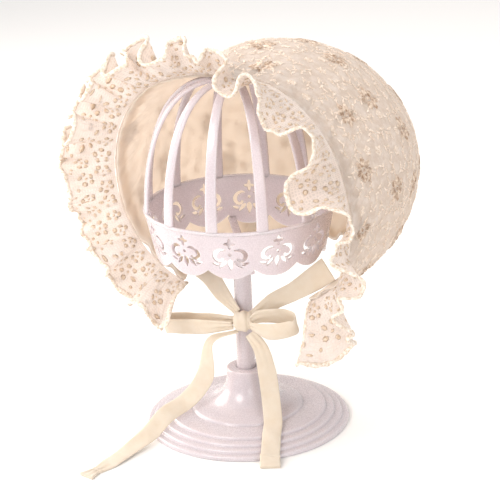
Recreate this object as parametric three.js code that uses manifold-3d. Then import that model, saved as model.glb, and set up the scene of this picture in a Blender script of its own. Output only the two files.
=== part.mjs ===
// Baby bonnet on a display stand, as a group of named solids.
// Millimetres, +Z up. The origin is the centre of the stand's underside, and the bonnet
// faces -Y. The person who wears it would look along -Y, so +X is the wearer's left.
//
// The stand is three pieces: a stepped base, a pole and a ribbed cage. The bonnet is an
// outer shell, a lining and a gathered front ruffle, which are solids of the same
// surface, and cotton tapes that tie under the chin in a bow.
import * as THREE from "three";
import { mergeVertices } from "three/addons/utils/BufferGeometryUtils.js";
import Module from "manifold-3d";

const wasm = await Module();
wasm.setup();

const { cos, sin, acos, hypot, PI, abs, atan2, max, min } = Math;
const rad = THREE.MathUtils.degToRad;
const vec = (x, y, z) => new THREE.Vector3(x, y, z);

// Driving dimensions, in millimetres and degrees

const CLEARANCE = 0.3; // air between two pieces that touch on the real thing

// Base: radius and height of each step, from the rim in to the foot of the bell.
const BASE_STEPS = [
  { radius: 75, height: 3 },
  { radius: 70, height: 5.5 },
  { radius: 64.5, height: 8 },
  { radius: 58, height: 10.5 },
  { radius: 41, height: 13 },
];
const STEP_SLOPE = 0.8; // mm that each riser leans in
const TREAD_RISE = 0.4; // mm that each tread climbs to the next riser
const BELL_RADIUS = 14.5; // the bell's collar, where the pole enters
const BELL_HEIGHT = 41.5;
const BELL_ROWS = 5;
const COLLAR_HEIGHT = 4;
const SOCKET_DEPTH = 18;

const POLE_RADIUS_BOTTOM = 6.9;
const POLE_RADIUS_TOP = 6.4;

// Cage: a scalloped band under a rim, ribs to a crown disc, and a spider on the pole.
const RIM_RADIUS = 68.6;
const RIM_HEIGHT = 168.5;
const BAND_DEPTH = 36; // rim to the lowest point of a scallop
const BAND_FOOT_RADIUS = 61;
const BAND_WALL = 2.2;
const SCALLOP_RISE = 6.5; // height of the cusps over the lowest points
const REPEATS = 12; // ribs, scallops and ornaments
const SCALLOP_SIDES = 3; // facets of each scallop
const RIB_TURN = 15; // degrees from +X to the first rib
const ORNAMENT_SHIFT = -5; // degrees from the middle of two ribs to an ornament
const RIB_WIDTH_FOOT = 8.6;
const RIB_WIDTH_TOP = 5.4;
const RIB_THICKNESS = 2.8;
const RIB_ROWS = 5;
const RIB_BULGE = 0.66; // less is a squarer shoulder
const RIB_OVERLAP = 1.4; // how far the ribs run into the crown disc
const DISC_RADIUS = 17;
const DISC_THICKNESS = 2.4;
const HUB_RADIUS = 10.5;
const HUB_HEIGHT = 13;
const SPOKES = 4;
const SPOKE_WIDTH = 6;
const SPOKE_THICKNESS = 3;
const SPOKE_OVER_SCALLOP = 2.5; // height of the spokes' undersides over the scallops

// Bonnet: it sits on the cage, so its heights are measured from the rim. The opening's
// outline is the reach from its centre at a turn from the top.
const OPENING_OVER_RIM = 11.5;
const OPENING_CENTRE = { y: -12, z: RIM_HEIGHT + OPENING_OVER_RIM };
const OPENING = [
  { turn: -180, reach: 84 },
  { turn: -155, reach: 85 },
  { turn: -130, reach: 91 },
  { turn: -105, reach: 96 },
  { turn: -80, reach: 99 },
  { turn: -55, reach: 98 },
  { turn: -28, reach: 90 },
  { turn: 0, reach: 84.5 },
  { turn: 30, reach: 90 },
  { turn: 60, reach: 93 },
  { turn: 85, reach: 95 },
  { turn: 105, reach: 100 },
  { turn: 120, reach: 103 },
  { turn: 140, reach: 97 },
];
const LEFT_CORNER_TURN = -152;
const RIGHT_CORNER_TURN = 139;
// The crown's own section, which takes over behind the opening.
const CROWN_UNDER_RIM = 0.5;
const CROWN_CENTRE_HEIGHT = RIM_HEIGHT - CROWN_UNDER_RIM;
const CROWN = [
  { turn: -180, reach: 84 },
  { turn: -135, reach: 90 },
  { turn: -90, reach: 98 },
  { turn: -45, reach: 102 },
  { turn: 0, reach: 104.5 },
  { turn: 45, reach: 103 },
  { turn: 90, reach: 100 },
  { turn: 135, reach: 92 },
];
const DOME_FRONT = 48; // y where the crown starts to close
const DOME_DEPTH = 132; // from there to the back of the crown
const NECK_UNDER_RIM_FRONT = 62.5;
const NECK_UNDER_RIM_BACK = 58.5;
const CROWN_WALL = 1.2;
const LINING_WALL = 1;
const CLOTH_SECTORS = 44;
const CLOTH_ROWS = 8;
// The polar grid of the cloth is laid out round this axis, up and back from a centre.
const GRID_CENTRE = { y: 40, z: RIM_HEIGHT + 3.5 };
const GRID_TILT = 28;

// Soft gathers where the shell is drawn in at the neck: degrees round the grid axis,
// depth and width of each hollow.
const NECK_GATHERS = [
  { turn: 128, depth: 1.4, width: 8 },
  { turn: 150, depth: 2.2, width: 8 },
  { turn: 172, depth: 1.6, width: 8 },
  { turn: 193, depth: 2.2, width: 8 },
  { turn: 214, depth: 1.6, width: 8 },
];

// Ruffle: lean is 0 where it stands forward, 90 where it stands out from the head and
// negative where it curls over the opening. Slide shifts its edge along the opening.
const RUFFLE_WALL = 1;
const RUFFLE_STATIONS = 112;
const RUFFLE_ROWS = 3;
const RUFFLE_FOLDS = [
  { turn: -152, lean: 22, width: 40, slide: -14 },
  { turn: -147, lean: 52, width: 38, slide: -10 },
  { turn: -141, lean: 30, width: 38, slide: -6 },
  { turn: -134, lean: 82, width: 38, slide: -2 },
  { turn: -128, lean: 70, width: 37, slide: 0 },
  { turn: -121, lean: 22, width: 38, slide: 2 },
  { turn: -114, lean: 76, width: 38, slide: 0 },
  { turn: -107, lean: 82, width: 38, slide: 0 },
  { turn: -100, lean: 66, width: 39, slide: 0 },
  { turn: -93, lean: 30, width: 39, slide: 2 },
  { turn: -85, lean: 62, width: 41, slide: 0 },
  { turn: -78, lean: 84, width: 40, slide: 0 },
  { turn: -70, lean: 30, width: 38, slide: 0 },
  { turn: -63, lean: 92, width: 38, slide: -2 },
  { turn: -56, lean: 46, width: 36, slide: 2 },
  { turn: -49, lean: 104, width: 38, slide: -3 },
  { turn: -40, lean: 40, width: 34, slide: 2 },
  { turn: -31, lean: 92, width: 36, slide: -4 },
  { turn: -22, lean: 34, width: 36, slide: 2 },
  { turn: -13, lean: 66, width: 36, slide: 2 },
  { turn: -4, lean: 38, width: 34, slide: 0 },
  { turn: 5, lean: 58, width: 30, slide: 0 },
  { turn: 13, lean: -4, width: 34, slide: 2 },
  { turn: 22, lean: 30, width: 36, slide: 0 },
  { turn: 31, lean: 12, width: 38, slide: 0 },
  { turn: 38, lean: -10, width: 38, slide: 0 },
  { turn: 46, lean: -8, width: 38, slide: 0 },
  { turn: 54, lean: 26, width: 38, slide: 0 },
  { turn: 62, lean: 14, width: 38, slide: 0 },
  { turn: 70, lean: -30, width: 40, slide: 0 },
  { turn: 78, lean: -44, width: 42, slide: 2 },
  { turn: 85, lean: 16, width: 38, slide: 0 },
  { turn: 93, lean: 40, width: 36, slide: -2 },
  { turn: 101, lean: 8, width: 36, slide: 0 },
  { turn: 109, lean: 52, width: 38, slide: 2 },
  { turn: 117, lean: 30, width: 40, slide: 4 },
  { turn: 125, lean: 66, width: 42, slide: 6 },
  { turn: 132, lean: 92, width: 44, slide: 12 },
  { turn: 139, lean: 58, width: 46, slide: 18 },
];

// Tape ties, all of one tape.
const TAPE_WIDTH = 13.5;
const TAPE_WALL = 1;
const KNOT_HEIGHT = 82;
const KNOT_TURN = 32; // degrees from straight ahead, towards +X
const KNOT_SIZE = { across: 16.4, deep: 11, high: 15.6 };

// Helpers

const lerp = (a, b, t) => a + (b - a) * t;
const smooth = (x, lo, hi) => THREE.MathUtils.smoothstep(x, lo, hi);

/** Reads column `key` of a table at `x` of column `at`, smoothly and without overshoot. */
function readTable(rows, at, key, x) {
  const last = rows.length - 1;
  if (x <= rows[0][at]) {
    return rows[0][key];
  }
  if (x >= rows[last][at]) {
    return rows[last][key];
  }
  let i = 0;
  while (rows[i + 1][at] < x) {
    i += 1;
  }
  const t = (x - rows[i][at]) / (rows[i + 1][at] - rows[i][at]);
  const slope = (j) => {
    if (j <= 0 || j >= last) {
      return 0;
    }
    return (rows[j + 1][key] - rows[j - 1][key]) / (rows[j + 1][at] - rows[j - 1][at]);
  };
  const span = rows[i + 1][at] - rows[i][at];
  const t2 = t * t;
  const t3 = t2 * t;
  return (
    rows[i][key] * (2 * t3 - 3 * t2 + 1) +
    rows[i + 1][key] * (3 * t2 - 2 * t3) +
    slope(i) * span * (t3 - 2 * t2 + t) +
    slope(i + 1) * span * (t3 - t2)
  );
}

/** The same table, read as one that repeats every 360 degrees of `turn`. */
function readRound(rows, key, turn) {
  const first = { ...rows[0], turn: rows[0].turn + 360 };
  const before = { ...rows[rows.length - 1], turn: rows[rows.length - 1].turn - 360 };
  const second = { ...rows[1], turn: rows[1].turn + 360 };
  return readTable([before, ...rows, first, second], "turn", key, turn);
}

function mesh(name, geometry, material) {
  const made = new THREE.Mesh(geometry, material.clone());
  made.name = name;
  return made;
}

/** A geometry as a manifold solid. */
function solidOf(geometry) {
  const bare = geometry.index ? geometry.toNonIndexed() : geometry.clone();
  bare.deleteAttribute("normal");
  bare.deleteAttribute("uv");
  const merged = mergeVertices(bare, 1e-4);
  return new wasm.Manifold(
    new wasm.Mesh({
      numProp: 3,
      vertProperties: merged.attributes.position.array,
      triVerts: new Uint32Array(merged.index.array),
    }),
  );
}

/** A manifold solid as a geometry. */
function geometryOf(solid) {
  const out = solid.getMesh();
  const geometry = new THREE.BufferGeometry();
  const places = new Float32Array(out.vertProperties);
  const corners = new Uint32Array(out.triVerts);
  geometry.setAttribute("position", new THREE.BufferAttribute(places, 3));
  geometry.setIndex(new THREE.BufferAttribute(corners, 1));
  return geometry.toNonIndexed();
}

/** A closed geometry from vertices and faces of three or four corners. */
function facesToGeometry(points, faces) {
  const geometry = new THREE.BufferGeometry();
  const flat = points.flatMap((p) => [p.x, p.y, p.z]);
  const index = faces.flatMap((f) => {
    return f.length === 4 ? [f[0], f[1], f[2], f[0], f[2], f[3]] : f;
  });
  geometry.setAttribute("position", new THREE.Float32BufferAttribute(flat, 3));
  geometry.setIndex(index);
  const whole = geometry.toNonIndexed();
  return solidOf(whole).volume() < 0 ? turnedOut(geometry) : whole;
}

/** The same closed geometry with its faces turned round. */
function turnedOut(geometry) {
  const index = Array.from(geometry.index.array);
  for (let i = 0; i < index.length; i += 3) {
    [index[i + 1], index[i + 2]] = [index[i + 2], index[i + 1]];
  }
  geometry.setIndex(index);
  return geometry.toNonIndexed();
}

// Stand

function baseProfile() {
  const points = [[0, 0], [BASE_STEPS[0].radius, 0]];
  BASE_STEPS.forEach((step, i) => {
    const under = i ? BASE_STEPS[i - 1].height + TREAD_RISE : 0;
    if (i) {
      points.push([step.radius, under]);
    }
    points.push([step.radius - STEP_SLOPE, step.height]);
  });
  const foot = BASE_STEPS[BASE_STEPS.length - 1];
  const collarBottom = BELL_HEIGHT - COLLAR_HEIGHT;
  for (let i = 1; i <= BELL_ROWS; i += 1) {
    const a = (i / BELL_ROWS) * (PI / 2);
    const r = foot.radius - 5 - (foot.radius - 5 - BELL_RADIUS) * sin(a);
    const z = collarBottom - (collarBottom - foot.height - 1.2) * cos(a);
    points.push([r, z]);
  }
  const bore = POLE_RADIUS_BOTTOM + CLEARANCE;
  points.push([BELL_RADIUS, BELL_HEIGHT], [bore, BELL_HEIGHT]);
  points.push([bore, BELL_HEIGHT - SOCKET_DEPTH], [0, BELL_HEIGHT - SOCKET_DEPTH]);
  return points.map(([r, z]) => new THREE.Vector2(r, z));
}

/** Height of the base's upper surface at a radius. */
function baseTop(radius) {
  const profile = baseProfile().slice(2, -3);
  if (radius > profile[0].x) {
    return 0;
  }
  for (let i = 0; i < profile.length - 1; i += 1) {
    const [a, b] = [profile[i], profile[i + 1]];
    if (radius <= a.x && radius >= b.x && a.x > b.x) {
      return lerp(a.y, b.y, (a.x - radius) / (a.x - b.x));
    }
  }
  return BELL_HEIGHT;
}

function standBase() {
  return new THREE.LatheGeometry(baseProfile(), 30).rotateX(PI / 2);
}

const CAGE_TOP = () => liningRest() - CLEARANCE;
const SCALLOP_BOTTOM = RIM_HEIGHT - BAND_DEPTH;
const SPOKE_BOTTOM = SCALLOP_BOTTOM + SPOKE_OVER_SCALLOP;
const HUB_BOTTOM = SPOKE_BOTTOM - 6;

function standPole() {
  const bottom = BELL_HEIGHT - SOCKET_DEPTH + CLEARANCE;
  const top = HUB_BOTTOM + HUB_HEIGHT - 3 - CLEARANCE;
  return new THREE.CylinderGeometry(POLE_RADIUS_TOP, POLE_RADIUS_BOTTOM, top - bottom, 24)
    .rotateX(PI / 2)
    .translate(0, 0, (top + bottom) / 2);
}

/** Radius of the band's outer face at a height. */
function bandRadius(z) {
  const t = THREE.MathUtils.clamp((z - SCALLOP_BOTTOM) / BAND_DEPTH, 0, 1);
  return lerp(BAND_FOOT_RADIUS, RIM_RADIUS, t);
}

/** The band as one strip whose lower edge is cut in scallops, before it is pierced. */
function bandSolid() {
  const around = REPEATS * SCALLOP_SIDES;
  const rows = 1;
  const points = [];
  const ring = (a, r, inner) => {
    const turn = (a / around) * 360 + RIB_TURN + ORNAMENT_SHIFT;
    const phase = (a % SCALLOP_SIDES) / SCALLOP_SIDES;
    const low = SCALLOP_BOTTOM + SCALLOP_RISE * abs(sin(phase * PI)) ** 2.4;
    const z = lerp(low, RIM_HEIGHT, r / rows);
    const radius = bandRadius(z) - (inner ? BAND_WALL : 0);
    return vec(radius * cos(rad(turn)), radius * sin(rad(turn)), z);
  };
  for (let side = 0; side < 2; side += 1) {
    for (let r = 0; r <= rows; r += 1) {
      for (let a = 0; a < around; a += 1) {
        points.push(ring(a, r, side === 1));
      }
    }
  }
  const at = (side, r, a) => (side * (rows + 1) + r) * around + (a % around);
  const faces = [];
  for (let a = 0; a < around; a += 1) {
    for (let r = 0; r < rows; r += 1) {
      faces.push([at(0, r, a), at(0, r, a + 1), at(0, r + 1, a + 1), at(0, r + 1, a)]);
      faces.push([at(1, r, a), at(1, r + 1, a), at(1, r + 1, a + 1), at(1, r, a + 1)]);
    }
    faces.push([at(0, rows, a), at(0, rows, a + 1), at(1, rows, a + 1), at(1, rows, a)]);
    faces.push([at(0, 0, a), at(1, 0, a), at(1, 0, a + 1), at(0, 0, a + 1)]);
  }
  return solidOf(facesToGeometry(points, faces));
}

// One ornament, as outlines in mm: across the band, and up from the scallops' lowest points.
const ORNAMENT = [
  // star over the middle
  [[0, 31.5], [-2.8, 27.4], [0, 23.4], [2.8, 27.4]],
  // left scroll
  [[-3, 23.6], [-3.2, 18.6], [-8.6, 14.2], [-13.4, 17.4], [-8.2, 17.2], [-6.4, 21.8]],
  // right scroll
  [[3, 23.6], [6.4, 21.8], [8.2, 17.2], [13.4, 17.4], [8.6, 14.2], [3.2, 18.6]],
  // drop
  [[0, 15], [-2.1, 7.4], [2.1, 7.4]],
  // left leaf
  [[-2.6, 15.2], [-8.6, 9.2], [-4.2, 7.8]],
  // right leaf
  [[2.6, 15.2], [4.2, 7.8], [8.6, 9.2]],
];

function ornamentCutters() {
  const cutters = [];
  for (let k = 0; k < REPEATS; k += 1) {
    const turn = RIB_TURN + ORNAMENT_SHIFT + ((k + 0.5) * 360) / REPEATS;
    for (const outline of ORNAMENT) {
      const shape = new THREE.Shape(outline.map(([x, z]) => new THREE.Vector2(x, z)));
      const cutter = new THREE.ExtrudeGeometry(shape, { depth: 14, bevelEnabled: false })
        .rotateX(PI / 2)
        .rotateZ(-PI / 2)
        .translate(RIM_RADIUS + 4, 0, SCALLOP_BOTTOM)
        .rotateZ(rad(turn));
      cutters.push(solidOf(cutter));
    }
  }
  return cutters;
}

/** Distance from the axis and height of a rib's middle line, from the rim to the disc. */
function ribPoint(t) {
  const a = (t * PI) / 2;
  const top = CAGE_TOP() - DISC_THICKNESS / 2;
  const r = (RIM_RADIUS - RIB_THICKNESS / 2) * cos(a) ** RIB_BULGE;
  return { r, z: lerp(RIM_HEIGHT - 2, top, sin(a)) };
}

/** Share of the way at which a rib ends, inside the crown disc. */
function ribEnd() {
  const share = (DISC_RADIUS - RIB_OVERLAP) / (RIM_RADIUS - RIB_THICKNESS / 2);
  return acos(share ** (1 / RIB_BULGE)) / (PI / 2);
}

function ribSolid(turn) {
  const stations = [];
  const end = ribEnd();
  for (let i = 0; i <= RIB_ROWS; i += 1) {
    const t = (i / RIB_ROWS) * end;
    const [p, q] = [ribPoint(t), ribPoint(t + 0.01)];
    const length = hypot(q.r - p.r, q.z - p.z);
    const [nr, nz] = [(q.z - p.z) / length, (p.r - q.r) / length];
    stations.push({ ...p, nr, nz, t });
  }
  // The section, across and out: flat inside and bevelled outside.
  const section = [[-1, -1], [1, -1], [1, 0.35], [0.45, 1], [-0.45, 1], [-1, 0.35]];
  const points = [];
  for (const s of stations) {
    const half = lerp(RIB_WIDTH_FOOT, RIB_WIDTH_TOP, s.t) / 2;
    for (const [side, out] of section) {
      const r = s.r + (s.nr * out * RIB_THICKNESS) / 2;
      points.push(vec(r, side * half, s.z + (s.nz * out * RIB_THICKNESS) / 2));
    }
  }
  const faces = [];
  for (let i = 0; i < RIB_ROWS; i += 1) {
    for (let k = 0; k < 6; k += 1) {
      const [a, b] = [i * 6 + k, i * 6 + ((k + 1) % 6)];
      faces.push([a, b, b + 6, a + 6]);
    }
  }
  const tip = RIB_ROWS * 6;
  for (let k = 1; k < 5; k += 1) {
    faces.push([0, k + 1, k], [tip, tip + k, tip + k + 1]);
  }
  return solidOf(facesToGeometry(points, faces).rotateZ(rad(turn)));
}

function standCage() {
  const top = CAGE_TOP();
  const disc = new THREE.CylinderGeometry(DISC_RADIUS - 2, DISC_RADIUS, DISC_THICKNESS, 24)
    .rotateX(PI / 2)
    .translate(0, 0, top - DISC_THICKNESS / 2);
  const bore = POLE_RADIUS_TOP + CLEARANCE + 0.1;
  const hubProfile = [
    new THREE.Vector2(0, HUB_HEIGHT - 3),
    new THREE.Vector2(bore, HUB_HEIGHT - 3),
    new THREE.Vector2(bore, 0),
    new THREE.Vector2(HUB_RADIUS, 0),
    new THREE.Vector2(HUB_RADIUS, HUB_HEIGHT),
    new THREE.Vector2(0, HUB_HEIGHT),
  ];
  const hub = new THREE.LatheGeometry(hubProfile, 24).rotateX(PI / 2).translate(0, 0, HUB_BOTTOM);
  const pieces = [solidOf(disc), solidOf(hub)];
  for (let k = 0; k < REPEATS; k += 1) {
    pieces.push(ribSolid(RIB_TURN + (k * 360) / REPEATS));
  }
  const reach = bandRadius(SPOKE_BOTTOM) - BAND_WALL / 2;
  for (let k = 0; k < SPOKES; k += 1) {
    const spoke = new THREE.BoxGeometry(reach - HUB_RADIUS + 1, SPOKE_WIDTH, SPOKE_THICKNESS)
      .translate((reach + HUB_RADIUS - 1) / 2, 0, SPOKE_BOTTOM + SPOKE_THICKNESS / 2)
      .rotateZ(rad(RIB_TURN + ((k + 0.25) * 360) / SPOKES));
    pieces.push(solidOf(spoke));
  }
  const band = bandSolid().subtract(wasm.Manifold.union(ornamentCutters()));
  return geometryOf(wasm.Manifold.union([band, ...pieces]).simplify(0.3));
}

// Bonnet cloth

/** How far the section at a depth has changed from the opening's to the crown's. */
const crownShare = (y) => smooth(y, OPENING_CENTRE.y, DOME_FRONT);

/** Height of the cloth's centre line at a depth. */
const centreHeight = (y) => lerp(OPENING_CENTRE.z, CROWN_CENTRE_HEIGHT, crownShare(y));

/** Reach of the cloth's section from its centre line, at a turn and a depth. */
function sectionReach(turn, y) {
  return lerp(readRound(OPENING, "reach", turn), readRound(CROWN, "reach", turn), crownShare(y));
}

/** Under 1 inside the cloth's outer surface, over 1 outside it. */
function clothField(p) {
  const rise = p.z - centreHeight(p.y);
  const turn = (atan2(p.x, rise) * 180) / PI;
  const across = hypot(p.x, rise) / sectionReach(turn, p.y);
  const back = max(0, p.y - DOME_FRONT) / DOME_DEPTH;
  return hypot(across, back);
}

const GRID_ORIGIN = vec(0, GRID_CENTRE.y, GRID_CENTRE.z);
const GRID_AXIS = vec(0, cos(rad(GRID_TILT)), sin(rad(GRID_TILT)));
const GRID_UP = vec(0, -sin(rad(GRID_TILT)), cos(rad(GRID_TILT)));

/** Where the ray from the grid's centre, `away` degrees off its axis, leaves the cloth. */
function surfacePoint(turn, away) {
  const side = vec(sin(rad(turn)), 0, 0).addScaledVector(GRID_UP, cos(rad(turn)));
  const ray = GRID_AXIS.clone().multiplyScalar(cos(rad(away)));
  ray.addScaledVector(side, sin(rad(away)));
  let [near, far] = [0, 220];
  for (let i = 0; i < 40; i += 1) {
    const mid = (near + far) / 2;
    if (clothField(GRID_ORIGIN.clone().addScaledVector(ray, mid)) < 1) {
      near = mid;
    } else {
      far = mid;
    }
  }
  return GRID_ORIGIN.clone().addScaledVector(ray, near);
}

/** Positive while a point of the surface is behind the opening and over the neck. */
function insideEdges(p) {
  const back = smooth(p.y, OPENING_CENTRE.y, 120);
  const neck = RIM_HEIGHT - lerp(NECK_UNDER_RIM_FRONT, NECK_UNDER_RIM_BACK, back);
  return min(p.y - OPENING_CENTRE.y, p.z - neck);
}

/** Degrees off the grid's axis at which the cloth ends. */
function edgeAway(turn) {
  let [near, far] = [10, 175];
  for (let i = 0; i < 40; i += 1) {
    const mid = (near + far) / 2;
    if (insideEdges(surfacePoint(turn, mid)) > 0) {
      near = mid;
    } else {
      far = mid;
    }
  }
  return near;
}

/** Depth of the gathers at the neck. */
function gatherDepth(turn, share) {
  const around = (turn + 360) % 360;
  let depth = 0;
  for (const g of NECK_GATHERS) {
    depth += g.depth * Math.exp(-(((around - g.turn) / g.width) ** 2));
  }
  return depth * smooth(share, 0.45, 1);
}

/** A point of the cloth at a turn and a share of the way to its edge, `inset` under it. */
function clothPoint(turn, share, inset) {
  const step = 0.5;
  const away = edgeAway(turn) * share;
  const p = surfacePoint(turn, away);
  const side = vec(sin(rad(turn)), 0, 0).addScaledVector(GRID_UP, cos(rad(turn)));
  const radial = p.clone().sub(GRID_ORIGIN).normalize();
  let normal = radial.clone();
  if (share > 0.01) {
    const alongAway = surfacePoint(turn, away + step).sub(surfacePoint(turn, away - step));
    const alongTurn = surfacePoint(turn + step, away).sub(surfacePoint(turn - step, away));
    normal = alongAway.cross(alongTurn).normalize();
    if (normal.dot(radial) < 0) {
      normal.negate();
    }
  }
  p.addScaledVector(normal, -inset - gatherDepth(turn, share));
  return p;
}

/** A shell of the cloth between two insets, open at the face and the neck. */
function clothShell(outerInset, innerInset) {
  const points = [];
  const rings = CLOTH_ROWS;
  for (const inset of [outerInset, innerInset]) {
    points.push(clothPoint(0, 0, inset));
    for (let r = 1; r <= rings; r += 1) {
      for (let s = 0; s < CLOTH_SECTORS; s += 1) {
        points.push(clothPoint((s / CLOTH_SECTORS) * 360, r / rings, inset));
      }
    }
  }
  const one = 1 + rings * CLOTH_SECTORS;
  const at = (side, r, s) => side * one + 1 + (r - 1) * CLOTH_SECTORS + (s % CLOTH_SECTORS);
  const faces = [];
  for (let s = 0; s < CLOTH_SECTORS; s += 1) {
    faces.push([0, at(0, 1, s), at(0, 1, s + 1)], [one, at(1, 1, s + 1), at(1, 1, s)]);
    for (let r = 1; r < rings; r += 1) {
      faces.push([at(0, r, s), at(0, r + 1, s), at(0, r + 1, s + 1), at(0, r, s + 1)]);
      faces.push([at(1, r, s), at(1, r, s + 1), at(1, r + 1, s + 1), at(1, r + 1, s)]);
    }
    faces.push([at(0, rings, s), at(1, rings, s), at(1, rings, s + 1), at(0, rings, s + 1)]);
  }
  return facesToGeometry(points, faces);
}

const LINING_OUTER = CROWN_WALL + CLEARANCE;
const LINING_INNER = LINING_OUTER + LINING_WALL;
const LINING_SAG = 0.6; // how far the lining's facets lie under its true surface

/** Height at which the lining rests on the cage's disc. */
function liningRest() {
  return OPENING_CENTRE.z + readRound(OPENING, "reach", 0) - LINING_INNER - LINING_SAG;
}

// Ruffle

function openingPoint(turn, inset) {
  const reach = readRound(OPENING, "reach", turn) - inset;
  const z = OPENING_CENTRE.z + reach * cos(rad(turn));
  return vec(reach * sin(rad(turn)), OPENING_CENTRE.y, z);
}

/** A point of the ruffle at a turn of the opening and a share of its width. */
function rufflePoint(turn, share) {
  const lean = readTable(RUFFLE_FOLDS, "turn", "lean", turn);
  const width = readTable(RUFFLE_FOLDS, "turn", "width", turn);
  const slide = readTable(RUFFLE_FOLDS, "turn", "slide", turn);
  const root = openingPoint(turn, CROWN_WALL / 2);
  root.y -= CLEARANCE + RUFFLE_WALL / 2;
  const out = vec(sin(rad(turn)), 0, cos(rad(turn)));
  const along = vec(cos(rad(turn)), 0, -sin(rad(turn)));
  // The ruffle leaves the seam straight forward and takes up its lean over its width.
  const steps = 8;
  const p = root.clone();
  for (let i = 0; i < steps; i += 1) {
    const s = ((i + 0.5) / steps) * share;
    const angle = rad(lean * smooth(s, -0.25, 0.55));
    p.addScaledVector(out, (sin(angle) * width * share) / steps);
    p.y -= (cos(angle) * width * share) / steps;
  }
  return p.addScaledVector(along, slide * share * share);
}

/** A closed sheet of even thickness over a grid of middle points. */
function sheetGeometry(grid, wall) {
  const rows = grid.length;
  const cols = grid[0].length;
  const normalAt = (i, j) => {
    const a = grid[min(i + 1, rows - 1)][j].clone().sub(grid[max(i - 1, 0)][j]);
    const b = grid[i][min(j + 1, cols - 1)].clone().sub(grid[i][max(j - 1, 0)]);
    return a.cross(b).normalize();
  };
  const points = [];
  for (const side of [1, -1]) {
    for (let i = 0; i < rows; i += 1) {
      for (let j = 0; j < cols; j += 1) {
        points.push(grid[i][j].clone().addScaledVector(normalAt(i, j), (side * wall) / 2));
      }
    }
  }
  const at = (side, i, j) => side * rows * cols + i * cols + j;
  const faces = [];
  const [lastRow, lastCol] = [rows - 1, cols - 1];
  for (let i = 0; i < lastRow; i += 1) {
    const n = i + 1;
    for (let j = 0; j < lastCol; j += 1) {
      faces.push([at(0, i, j), at(0, n, j), at(0, n, j + 1), at(0, i, j + 1)]);
      faces.push([at(1, i, j), at(1, i, j + 1), at(1, n, j + 1), at(1, n, j)]);
    }
    faces.push([at(0, i, 0), at(1, i, 0), at(1, n, 0), at(0, n, 0)]);
    faces.push([at(0, i, lastCol), at(0, n, lastCol), at(1, n, lastCol), at(1, i, lastCol)]);
  }
  for (let j = 0; j < lastCol; j += 1) {
    const n = j + 1;
    faces.push([at(0, 0, j), at(0, 0, n), at(1, 0, n), at(1, 0, j)]);
    faces.push([at(0, lastRow, j), at(1, lastRow, j), at(1, lastRow, n), at(0, lastRow, n)]);
  }
  return facesToGeometry(points, faces);
}

function frontRuffle() {
  const grid = [];
  for (let i = 0; i <= RUFFLE_STATIONS; i += 1) {
    const turn = lerp(LEFT_CORNER_TURN, RIGHT_CORNER_TURN, i / RUFFLE_STATIONS);
    const across = [];
    for (let j = 0; j <= RUFFLE_ROWS; j += 1) {
      across.push(rufflePoint(turn, j / RUFFLE_ROWS));
    }
    grid.push(across);
  }
  return sheetGeometry(grid, RUFFLE_WALL);
}

// Ties

const KNOT_REACH = POLE_RADIUS_BOTTOM + CLEARANCE + KNOT_SIZE.deep / 2;
const KNOT = vec(
  KNOT_REACH * sin(rad(KNOT_TURN)),
  -KNOT_REACH * cos(rad(KNOT_TURN)),
  KNOT_HEIGHT,
);

/** A length of tape through `path`: each row holds a place, a width share and its face. */
function tape(path, stations) {
  const curve = new THREE.CatmullRomCurve3(path.map((row) => row.at), false, "centripetal");
  const grid = [];
  const last = path.length - 1;
  for (let i = 0; i <= stations; i += 1) {
    const t = i / stations;
    const p = curve.getPoint(t);
    const k = min(Math.floor(t * last), last - 1);
    const f = t * last - k;
    const along = curve.getTangent(t);
    const across = path[k].across.clone().lerp(path[k + 1].across, f);
    across.addScaledVector(along, -across.dot(along)).normalize();
    const half = (TAPE_WIDTH * lerp(path[k].width, path[k + 1].width, f)) / 2;
    grid.push([-1, 0, 1].map((s) => p.clone().addScaledVector(across, s * half)));
  }
  return sheetGeometry(grid, TAPE_WALL);
}

const row = (x, y, z, across, width = 1) => ({ at: vec(x, y, z), across: vec(...across), width });

/** Height at a share of the way from the knot to the rim. */
const tieHeight = (share) => lerp(KNOT.z, RIM_HEIGHT, share);

function tieLeft() {
  return tape(
    [
      row(-62.1, -2, tieHeight(0.4393), [0, 1, 0]),
      row(-51.5, -2, tieHeight(0.3873), [0, 1, 0]),
      row(-41, -1, tieHeight(0.3526), [0, 1, 0.3]),
      row(-29, -1, tieHeight(0.3121), [0.3, 0.7, 0.6]),
      row(-14, -6, tieHeight(0.185), [0.5, 0.3, 0.7], 0.9),
      row(KNOT.x - 5.2, KNOT.y + 0.8, KNOT.z + 5.4, [0.5, 0, 0.8], 0.55),
    ],
    14,
  );
}

function tieRight() {
  return tape(
    [
      row(73.1, -3, tieHeight(0.5526), [0.1, 0.3, 1], 1.35),
      row(62, -7, tieHeight(0.4509), [0.1, 0, 1], 1.25),
      row(48, -9, tieHeight(0.3353), [0, 0, 1]),
      row(30, -8, tieHeight(0.2081), [0, 0, 1], 0.9),
      row(KNOT.x + 6.7, KNOT.y + 2, KNOT.z + 4.6, [0, 0, 1], 0.6),
    ],
    14,
  );
}

/** A loop of the bow: its reach to one side, how far it drops, and how wide it opens. */
function bowLoop(side, reach, drop, open) {
  const face = [0, -0.3, 1];
  const at = (share, lift, forward, width = 1) => {
    const z = KNOT.z + lift - drop * share;
    return row(KNOT.x + side * reach * share, KNOT.y + forward, z, face, width);
  };
  return tape(
    [
      at(7.4 / reach, 1, -1, 0.5),
      at(0.35, open, -2, 0.85),
      at(0.75, open, -1.5),
      at(0.98, open * 0.45, -3.5),
      at(1, -1, -6.5),
      at(0.9, -open * 0.5, -9.5),
      at(0.5, -open, -9),
      at(7.4 / reach, -2, -4.5, 0.5),
    ],
    20,
  );
}

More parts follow.
